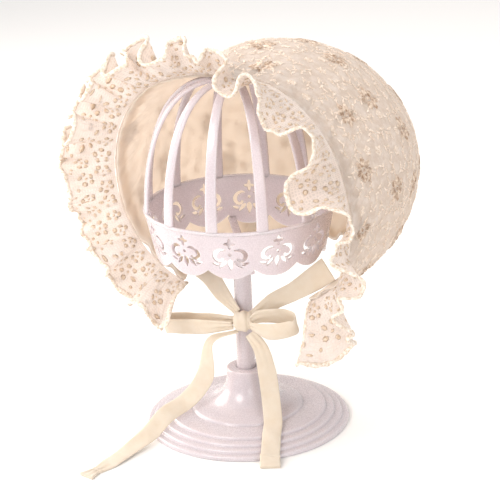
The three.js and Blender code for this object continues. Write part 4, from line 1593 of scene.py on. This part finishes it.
@dataclass
class Ruffle:
    """The gathered net ruffle round the face, with dot flowers and a corded edge."""

    finishes: Finishes
    form: BonnetForm
    left_corner: float = -152.0
    right_corner: float = 139.0
    stations: int = 1200
    rows: int = 30
    folds: tuple = (
        (-152, 22, 40, -14), (-147, 52, 38, -10), (-141, 30, 38, -6), (-134, 82, 38, -2),
        (-128, 70, 37, 0), (-121, 22, 38, 2), (-114, 76, 38, 0), (-107, 82, 38, 0),
        (-100, 66, 39, 0), (-93, 30, 39, 2), (-85, 62, 41, 0), (-78, 84, 40, 0),
        (-70, 30, 38, 0), (-63, 92, 38, -2), (-56, 46, 36, 2), (-49, 104, 38, -3),
        (-40, 40, 34, 2), (-31, 92, 36, -4), (-22, 34, 36, 2), (-13, 66, 36, 2),
        (-4, 38, 34, 0), (5, 58, 30, 0), (13, -4, 34, 2), (22, 30, 36, 0),
        (31, 12, 38, 0), (38, -10, 38, 0), (46, -8, 38, 0), (54, 26, 38, 0),
        (62, 14, 38, 0), (70, -30, 40, 0), (78, -44, 42, 2), (85, 16, 38, 0),
        (93, 40, 36, -2), (101, 8, 36, 0), (109, 52, 38, 2), (117, 30, 40, 4),
        (125, 66, 42, 6), (132, 92, 44, 12), (139, 58, 46, 18),
    )
    scallop: float = 7.5  # mm of edge to one scallop, measured on the flat net
    fullness: float = 1.55  # flat length over the seam's length
    cord: float = 1.4  # radius of the corded edge
    depth: float = 38.0  # mm of flat net
    gather: float = 7.0  # degrees that a fine gather leans
    roll: float = 7.0  # mm that a lobe folds over itself
    dot_gap: float = 17.0  # mm along the net from one dot flower to the next
    dot_height: float = 0.5
    length: float = field(default=0.0, init=False)  # mm of flat net, once it is built
    along: Array | None = field(default=None, init=False)  # flat place of each station

    def grid(self) -> Array:
        """Points of the net by station and row."""
        table = np.array(self.folds, dtype=float)
        turn = np.linspace(self.left_corner, self.right_corner, self.stations + 1)
        lean, width, slide = (read_table(table[:, 0], table[:, k], turn) for k in (1, 2, 3))
        # Gathers finer than the source's folds, from the pull of the thread at the seam.
        t = np.radians(turn)
        fine = self.gather * np.sin(41 * t + 2.0 * np.sin(9 * t))
        fine += 3 * np.sin(83 * t + 1.4 * np.sin(7 * t) + 1)
        # The near side hangs in wide soft rolls, the far side and the corners in tighter ones.
        fine *= 1 - 0.65 * smooth_step(turn, 2, 14) * smooth_step(turn, 100, 85)
        fine *= 1 + 0.9 * (smooth_step(turn, -62, -78) + smooth_step(turn, 112, 122))
        pleat = 0.5 * np.sin(150 * t + 2.2 * np.sin(13 * t))
        reach = read_round(np.array(self.form.opening, dtype=float), turn) - 0.6
        steps = np.hypot(np.diff(turn) * math.pi / 180 * reach[1:], np.diff(reach))
        seam = np.concatenate([[0], np.cumsum(steps)])
        self.length = float(seam[-1] * self.fullness)
        self.along = seam * self.fullness
        # Where the lean turns, the net folds over itself, so its lobes are round.
        calm = np.convolve(np.pad(lean, 60, mode="edge"), np.ones(121) / 121, mode="valid")
        bulge = -(lean - calm) * np.gradient(lean, seam)
        roll = self.roll + 4 * smooth_step(turn, -95, -80) * smooth_step(turn, 0, -15)
        bulge = roll * np.tanh(bulge / 110)
        edge = -0.9 + 0.9 * np.abs(np.sin(math.pi * self.along / self.scallop)) ** 0.6
        out = np.stack([np.sin(t), np.zeros_like(t), np.cos(t)], axis=1)
        along = np.stack([np.cos(t), np.zeros_like(t), -np.sin(t)], axis=1)
        place = out * reach[:, None] + [0, self.form.opening_y - 0.8, self.form.opening_z]
        made = np.zeros((self.stations + 1, self.rows + 1, 3))
        made[:, 0] = place
        for j in range(1, self.rows + 1):
            share = (j - 0.5) / self.rows
            step = (width + edge * share) / self.rows
            bend = lean * smooth_step(share, -0.25, 0.55) + fine * smooth_step(share, 0.05, 0.9)
            angle = np.radians(bend)
            place = place + out * (np.sin(angle) * step)[:, None]
            place = place - (np.cos(angle) * step)[:, None] * np.array([0.0, 1.0, 0.0])
            s = j / self.rows
            shift = slide * s * s + bulge * s**1.5
            waver = pleat * math.sin(math.pi * min(s * 1.5, 1)) + 0.5 * np.sin(33 * t) * s
            made[:, j] = place + along * shift[:, None] + out * waver[:, None]
        return made

    def sheet_point(self, grid: Array, normal: Array, u: Array, v: Array) -> tuple[Array, Array]:
        """Points and normals of the net at flat places.

        Args:
            grid: Points of the net.
            normal: Its normals.
            u: Places along the flat net in millimetres.
            v: Places across it, as a share of its width.

        Returns:
            Points and normals.
        """
        i = np.interp(u, self.along, np.arange(len(self.along)))
        j = np.clip(v * self.rows, 0, self.rows - 1e-3)
        i = np.clip(i, 0, self.stations - 1e-3)
        a = i.astype(int)
        b = j.astype(int)
        f = (i - a)[:, None]
        g = (j - b)[:, None]
        out = []
        for table in (grid, normal):
            low = table[a, b] * (1 - g) + table[a, b + 1] * g
            high = table[a + 1, b] * (1 - g) + table[a + 1, b + 1] * g
            out.append(low * (1 - f) + high * f)
        return out[0], out[1] / np.linalg.norm(out[1], axis=1, keepdims=True)

    def dots(self, grid: Array, normal: Array) -> bpy.types.Object:
        """Builds the embroidered dot flowers, raised on both sides of the net."""
        rng = np.random.default_rng(5)
        ring = knot_cluster(5, 5.0, 4.0)
        trio = knot_cluster(3, 2.8, 2.6)
        dot = Stitches([(-1.1, 0.0)], [(1.1, 0.0)], [2.2])
        marks = []
        columns = int(self.length / self.dot_gap)
        for c in range(columns):
            for r, v in enumerate((0.25, 0.62, 0.88)):
                u = (c + 0.5 + 0.5 * (r % 2)) * self.length / columns
                at = np.array([u, v * self.depth])
                spin = rng.uniform(0, 1.2)
                if r == 2:
                    marks.append(trio.turned(at, spin))
                else:
                    marks.append(ring.turned(at, spin, rng.uniform(0.85, 1.1)))
                    marks.append(dot.turned(at, spin))
        start, end = (np.vstack([getattr(m, side) for m in marks]) for side in ("start", "end"))
        wide = np.concatenate([m.width for m in marks])
        keep = (start[:, 0] > 2) & (end[:, 0] < self.length - 2)
        keep &= (end[:, 1] < self.depth * 0.96) & (start[:, 1] > 3)
        start, end = start[keep], end[keep]
        first, lifted = self.sheet_point(grid, normal, start[:, 0], start[:, 1] / self.depth)
        last, _ = self.sheet_point(grid, normal, end[:, 0], end[:, 1] / self.depth)
        points, faces = stitch_mesh(
            first, last, wide[keep], lifted, self.dot_height, self.dot_height
        )
        return make_piece("ruffle_dots", points, faces, self.finishes.dot_floss)

    def edge_cord(self, grid: Array, normal: Array) -> bpy.types.Object:
        """Builds the satin-stitched cord along the free edge and the two short ends."""
        line = np.vstack([grid[0, ::3], grid[:, -1][1:-1], grid[-1, ::-3]])
        up = np.vstack([normal[0, ::3], normal[:, -1][1:-1], normal[-1, ::-3]])
        side = unit(np.cross(unit(np.gradient(line, axis=0)), up))
        run = run_length(line)
        swell = self.cord * (1 + 0.22 * np.sin(run / 1.5 * 2 * math.pi) + 0.12 * np.sin(run / 4.1))
        sides = 8
        a = np.linspace(0, 2 * math.pi, sides, endpoint=False)
        tube = (
            line[:, None]
            + side[:, None] * (np.cos(a)[None, :] * swell[:, None] * 1.25)[..., None]
            + up[:, None] * (np.sin(a)[None, :] * swell[:, None] * 0.85)[..., None]
        )
        faces = tube_faces(len(line), sides)
        return make_piece("ruffle_cord", tube.reshape(-1, 3), faces, self.finishes.cord)

    def build(self) -> list[bpy.types.Object]:
        """Builds the net, its dots and its corded edge."""
        grid = self.grid()
        normal = grid_normals(grid)
        u = np.repeat(self.along[:, None], self.rows + 1, axis=1)
        v = np.tile(np.linspace(0, self.depth, self.rows + 1), (self.stations + 1, 1))
        flat = np.stack([u, v], axis=-1).reshape(-1, 2)
        faces = grid_faces(self.stations + 1, self.rows + 1)
        net = make_piece("ruffle_net", grid.reshape(-1, 3), faces, self.finishes.net, flat)
        dots = self.dots(grid, normal)
        cord = self.edge_cord(grid, normal)
        area = sum(p.area for p in net.data.polygons)
        log.info("ruffle area %.4f m2, flat length %.1f mm", area, self.length)
        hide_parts("front_ruffle")
        for piece in (net, dots, cord):
            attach(piece, "root")
        return [net, dots, cord]


@dataclass
class Ties:
    """The tapes: two ties, a bow of two loops, a knot and two tails."""

    finishes: Finishes
    stand: Stand
    width: float = 13.5
    wall: float = 1.0
    lift: float = 0.3  # mm of air under a tail that lies on the base or the table
    columns: int = 17
    knot: tuple = (6.73, -10.771, 82.0)
    knot_size: tuple = (16.4, 11.0, 15.6)
    knot_turn: float = 32.0
    run: float = field(default=0.0, init=False)  # mm of the tape built last

    def base_top(self, radius: float) -> float:
        """Height of the base's upper surface at a radius."""
        steps = self.stand.steps
        profile = []
        for i, (r, h) in enumerate(steps):
            if i:
                profile.append((r, steps[i - 1][1] + self.stand.tread_rise))
            profile.append((r - self.stand.step_slope, h))
        profile += self.stand.bell(5)
        if radius > profile[0][0]:
            return 0.0
        for (r0, z0), (r1, z1) in zip(profile, profile[1:]):
            if r0 >= radius >= r1 and r0 > r1:
                return z0 + (z1 - z0) * (r0 - radius) / (r0 - r1)
        return self.stand.bell_height

    def tape(
        self, name: str, rows: list, stations: int, ripple: float = 0.0, hem: float = 0.0
    ) -> bpy.types.Object:
        """A length of tape through rows of place, face and width.

        Args:
            name: The piece's name.
            rows: Place, direction across the tape and share of its width.
            stations: Steps along it.
            ripple: Height of its soft creases in millimetres.
            hem: Length of the folded hem at its far end.

        Returns:
            The piece.
        """
        at = np.array([r[0] for r in rows], dtype=float)
        extra = np.array([[*r[1], r[2]] for r in rows], dtype=float)
        line, read = spline(at, stations + 1, extra)
        along = unit(np.gradient(line, axis=0))
        across = read[:, :3]
        across = unit(across - along * np.sum(across * along, axis=1, keepdims=True))
        normal = np.cross(along, across)
        half = self.width * read[:, 3] / 2
        run = run_length(line)
        columns = self.columns
        s = np.linspace(-1, 1, columns)
        pinch = np.clip(1 - read[:, 3], 0, 1)
        # Pleats where the tape is squeezed, and slack creases along its free length.
        height = (
            pinch[:, None] * 1.1 * np.cos(s[None, :] * math.pi * 2.5)
            + ripple * np.sin(run[:, None] / 11 + s[None, :] * 1.6)
            + ripple * 0.5 * np.sin(run[:, None] / 4.3 - s[None, :] * 2.4)
        )
        thick = np.full((len(line), columns), self.wall / 2)
        thick *= np.clip(1 - s[None, :] ** 8, 0.25, 1)
        edge = np.exp(-(((np.abs(s[None, :]) - 0.8) / 0.07) ** 2)) * 0.12
        if hem:
            left = (run[-1] - run)[:, None]
            fold = left < hem
            seam = np.exp(-(((left - hem + 1.6) / 0.7) ** 2)) * 0.7
            half = half * (1 + 0.06 * fold[:, 0])
            thick = thick + np.where(fold, self.wall * 0.7, 0) - seam
        spread = line[:, None] + across[:, None] * (s[None, :] * half[:, None])[..., None]
        sheets = [
            spread + normal[:, None] * (height + sign * (thick - edge))[..., None]
            for sign in (1, -1)
        ]
        count = (stations + 1) * columns
        faces = grid_faces(stations + 1, columns).tolist()
        faces += grid_faces(stations + 1, columns, count, facing=Facing.IN).tolist()
        for i in range(stations):
            for j, flip in ((0, False), (columns - 1, True)):
                a, b = i * columns + j, (i + 1) * columns + j
                wall = [a, a + count, b + count, b]
                faces.append(wall[::-1] if flip else wall)
        for i, flip in ((0, True), (stations, False)):
            for j in range(columns - 1):
                a = i * columns + j
                wall = [a, a + count, a + 1 + count, a + 1]
                faces.append(wall[::-1] if flip else wall)
        u = np.tile(s * self.width / 2, (stations + 1, 1))
        v = np.repeat(run[:, None], columns, axis=1)
        flat = np.tile(np.stack([u, v], axis=-1).reshape(-1, 2), (2, 1))
        points = np.vstack([g.reshape(-1, 3) for g in sheets])
        piece = make_piece(name, points, faces, self.finishes.tape_cloth, flat)
        self.run = float(run[-1])
        return piece

    def loop(
        self, name: str, side: int, reach: float, drop: float, wide: float
    ) -> bpy.types.Object:
        """One loop of the bow.

        Args:
            name: The piece's name.
            side: -1 to the left, 1 to the right.
            reach: Its reach to that side.
            drop: How far its tip drops.
            wide: How wide it opens.

        Returns:
            The piece.
        """
        kx, ky, kz = self.knot
        rows = []
        for share, lift, forward, width in (
            (7.4 / reach, 1, -1, 0.5),
            (0.35, wide, -2, 0.85),
            (0.75, wide, -1.5, 1),
            (0.98, wide * 0.45, -3.5, 1),
            (1, -1, -6.5, 1),
            (0.9, -wide * 0.5, -9.5, 1),
            (0.5, -wide, -9, 1),
            (7.4 / reach, -2, -4.5, 0.5),
        ):
            at = (kx + side * reach * share, ky + forward, kz + lift - drop * share)
            rows.append((at, (0, -0.3, 1), width))
        return self.tape(name, rows, 120, ripple=0.25)

    def on_base(
        self, radius: float, turn: float, over: float, across: tuple, share: float = 1.0
    ) -> tuple:
        """A row over the base or the table, by distance and turn in plan.

        Args:
            radius: Distance from the stand's axis.
            turn: Turn from the front, to the wearer's left.
            over: Height over what lies below.
            across: Direction across the tape.
            share: Share of the tape's width.

        Returns:
            A row for a tape.
        """
        z = self.base_top(radius) + self.wall / 2 + self.lift + over
        t = math.radians(turn)
        return ((radius * math.sin(t), -radius * math.cos(t), z), across, share)

    def knot_piece(self) -> bpy.types.Object:
        """Builds the knot: the tape wrapped once over the crossing, pinched at both ends."""
        rows, cols = 56, 72
        v = np.linspace(0.02, 0.98, rows)[:, None] * math.pi
        a = np.linspace(0, 2 * math.pi, cols, endpoint=False)[None, :]
        wide, deep, high = (s / 2 for s in self.knot_size)
        # Round the X axis: the tape goes over the front and under the back.
        x = -np.cos(v) + 0 * a
        ring = np.sin(v) ** 0.55
        nip = np.exp(-(((x - 0.34 + 0.12 * np.cos(a)) / 0.09) ** 2))
        crease = 1 + 0.05 * np.cos(x * 9 + 0.8 * np.sin(a)) - 0.10 * nip
        crease = crease + 0.04 * np.sin(3 * a + x * 4)
        shape = np.stack(
            [x * wide, -np.cos(a) * ring * deep * crease, np.sin(a) * ring * high * crease], axis=-1
        )
        t = math.radians(self.knot_turn)
        turn = np.array([[math.cos(t), math.sin(t), 0], [-math.sin(t), math.cos(t), 0], [0, 0, 1]])
        points = shape.reshape(-1, 3) @ turn + self.knot
        faces = tube_faces(rows, cols)
        flat = np.stack([x * wide + 0 * a, a * 8 + 0 * x], axis=-1).reshape(-1, 2)
        return make_piece("knot_wrap", points, faces, self.finishes.tape_cloth, flat)

    def build(self) -> list[bpy.types.Object]:
        """Builds the tapes and the knot."""
        kx, ky, kz = self.knot
        left = [
            ((-62.1, -2, 120), (0, 1, 0), 1), ((-51.5, -2, 115.5), (0, 1, 0), 1),
            ((-41, -1, 112.5), (0, 1, 0.3), 1), ((-29, -1, 109), (0.3, 0.7, 0.6), 1),
            ((-14, -6, 98), (0.5, 0.3, 0.7), 0.9),
            ((kx - 5.2, ky + 0.8, kz + 5.4), (0.5, 0, 0.8), 0.55),
        ]
        right = [
            ((73.1, -3, 129.8), (0.1, 0.3, 1), 1.35), ((62, -7, 121), (0.1, 0, 1), 1.25),
            ((48, -9, 111), (0, 0, 1), 1), ((30, -8, 100), (0, 0, 1), 0.9),
            ((kx + 6.7, ky + 2, kz + 4.6), (0, 0, 1), 0.6),
        ]
        tail_left = [
            ((kx - 5, ky - 1, kz - 8.5), (0.9, -0.3, 0.2), 0.6),
            ((-14, -24, 68), (0.8, -0.6, 0), 0.8),
            ((-19, -27, 40), (0.8, 0.2, 0.25), 1),
            self.on_base(45, -43, 10, (0.8, 0.1, -0.35)),
            self.on_base(64, -36, 8, (0.7, -0.1, -0.5)),
            self.on_base(80, -32, 6, (0.75, -0.3, -0.4)),
            self.on_base(100, -27, 2, (0.95, -0.3, -0.12)),
            self.on_base(122, -23, 0, (1, -0.2, 0)), self.on_base(136, -21.3, 0, (1, -0.2, 0), 0.5),
            self.on_base(145, -20.5, 0, (1, -0.2, 0), 0.85),
        ]
        tail_right = [
            ((kx + 5, ky - 1, kz - 8.5), (1, 0.3, 0), 0.6), ((21, -13, 64), (0.8, 0.6, 0), 0.8),
            ((27, -15, 46), (0.8, 0.6, 0), 1),
            self.on_base(34, 62, 9, (0.8, 0.6, 0)), self.on_base(45, 55, 2.5, (0.8, 0.6, 0)),
            self.on_base(58, 48, 2, (0.8, 0.6, 0)), self.on_base(71, 44, 2, (0.8, 0.6, 0)),
            self.on_base(80, 42, 3, (0.8, 0.6, 0)), self.on_base(88, 41, 0, (0.8, 0.6, 0)),
        ]
        plan = (
            ("tie_left", "bonnet_crown", self.tape, ("tape_left", left, 90, 0.4)),
            ("tie_right", "bonnet_crown", self.tape, ("tape_right", right, 90, 0.4)),
            ("bow_loop_left", "bow_knot", self.loop, ("loop_left", -1, 66, 11, 1.5)),
            ("bow_loop_right", "bow_knot", self.loop, ("loop_right", 1, 46, -7, 4.5)),
            ("tie_tail_left", "stand_base", self.tape, ("tail_left", tail_left, 190, 0.35, 12)),
            ("tie_tail_right", "stand_base", self.tape, ("tail_right", tail_right, 190, 0.35, 12)),
        )
        made = []
        for node, rest, builder, sizes in plan:
            piece = builder(*sizes)
            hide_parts(node)
            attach(piece, "root")
            made.append(piece)
        knot = self.knot_piece()
        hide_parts("bow_knot")
        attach(knot, "root")
        return made + [knot]


@dataclass
class Studio:
    """A pale floor, soft lights, and a camera at the photograph's angle."""

    finishes: Finishes
    azimuth: float = 32.0
    elevation: float = 19.75
    roll: float = -2.5
    pan: float = 0.28
    pitch: float = 0.07
    focal: float = 1804.0  # pixels of the frame
    frame_width: float = 500.0  # pixels
    sensor: float = 36.0  # mm
    target: float = 130.0  # mm over the floor
    distance: float = 1300.0  # mm
    lit_height: float = 0.15  # m over the floor, where the lights point

    def turned(self, first: Array, second: Array, degrees: float) -> tuple[Array, Array]:
        """Two directions at right angles, turned in their plane from first to second."""
        t = math.radians(degrees)
        c, s = math.cos(t), math.sin(t)
        return first * c + second * s, second * c - first * s

    def placed(self, name: str, data: bpy.types.ID, axes: tuple, at: Array) -> bpy.types.Object:
        """Adds an object with its right, up and back directions and its place in metres."""
        piece = bpy.data.objects.new(name, data)
        bpy.context.scene.collection.objects.link(piece)
        right, up, back = axes
        rows = [[*right, 0], [*up, 0], [*back, 0], [*at, 1]]
        piece.matrix_world = Matrix(rows).transposed()
        return piece

    def floor(self) -> None:
        """Builds the floor."""
        half = 4000.0
        n = 9
        across = np.linspace(-half, half, n)
        x, y = np.meshgrid(across, across, indexing="ij")
        points = np.stack([x, y, np.full_like(x, -0.2)], axis=-1).reshape(-1, 3)
        piece = make_piece("floor", points, grid_faces(n, n), self.finishes.paper)

    def camera(self) -> None:
        """Builds the camera."""
        e = math.radians(self.elevation)
        place = np.array(
            [0, -self.distance * math.cos(e), self.target + self.distance * math.sin(e)]
        )
        ahead = np.array([0, math.cos(e), -math.sin(e)])
        right = np.array([1.0, 0.0, 0.0])
        up = np.cross(right, ahead)
        ahead, right = self.turned(ahead, right, self.pan)
        ahead, up = self.turned(ahead, up, self.pitch)
        right, up = self.turned(right, up, self.roll)
        a = math.radians(self.azimuth)
        spin = np.array([[math.cos(a), -math.sin(a), 0], [math.sin(a), math.cos(a), 0], [0, 0, 1]])
        place, ahead, right, up = (spin @ v for v in (place, ahead, right, up))
        lens = bpy.data.cameras.new("studio_camera")
        lens.sensor_width = self.sensor
        lens.lens = self.focal / self.frame_width * self.sensor
        lens.clip_end = 30
        eye = self.placed("studio_camera", lens, (right, up, -ahead), place * MM)
        bpy.context.scene.camera = eye

    def light(
        self,
        name: str,
        turn: float,
        height: float,
        away: float,
        size: float,
        power: float,
        tint: str,
    ) -> None:
        """Adds a soft area light that faces the bonnet.

        Args:
            name: The light's name.
            turn: Degrees round the bonnet from the camera, towards the camera's right.
            height: Its height in metres.
            away: Its distance in plan in metres.
            size: Its side in metres.
            power: Its power in watts.
            tint: Its colour.
        """
        lamp = bpy.data.lights.new(name, "AREA")
        lamp.shape = "DISK"
        lamp.size = size
        lamp.energy = power
        lamp.color = linear(tint)[:3]
        a = math.radians(self.azimuth + turn)
        place = np.array([away * math.sin(a), -away * math.cos(a), height])
        back = unit(place - [0, 0, self.lit_height])
        side = unit(np.cross([0, 0, 1], back))
        self.placed(name, lamp, (side, np.cross(back, side), back), place)

    def build(self) -> None:
        """Builds the studio."""
        self.floor()
        self.camera()
        self.light("key", -42, 1.15, 1.3, 0.8, 12, "FFFAF6")
        self.light("fill", 25, 0.6, 1.4, 1.0, 5, "FFFCFA")
        self.light("window", -118, 0.55, 1.0, 0.9, 12, "FFF7F0")
        self.light("back", 150, 1.6, 1.0, 1.0, 9, "FFF4EA")
        world = bpy.data.worlds.new("studio_white")
        world.use_nodes = True
        world.node_tree.nodes.clear()
        sky = add_node(
            world.node_tree, "ShaderNodeBackground", {"Color": linear("FFFFFF"), "Strength": 0.72}
        )
        add_node(world.node_tree, "ShaderNodeOutputWorld", None, {"Surface": sky.outputs[0]})
        bpy.context.scene.world = world
        # Plain display of the light, so that white paper stays white as in a catalogue picture.
        bpy.context.scene.view_settings.view_transform = "Standard"


def main() -> None:
    """Builds the stand, the bonnet and the studio, and logs the sizes."""
    logging.basicConfig(level=logging.INFO, format="%(name)s: %(message)s")
    finishes = Finishes()
    form = BonnetForm()
    crown = Crown(finishes, form)
    stand = Stand(finishes)
    lining = Lining(finishes, crown)
    for part in (stand, crown, lining, Ruffle(finishes, form), Ties(finishes, stand)):
        for piece in part.build():
            log.info("%s: %d faces", piece.name, len(piece.data.polygons))
    Studio(finishes).build()


if __name__ == "__main__":
    main()
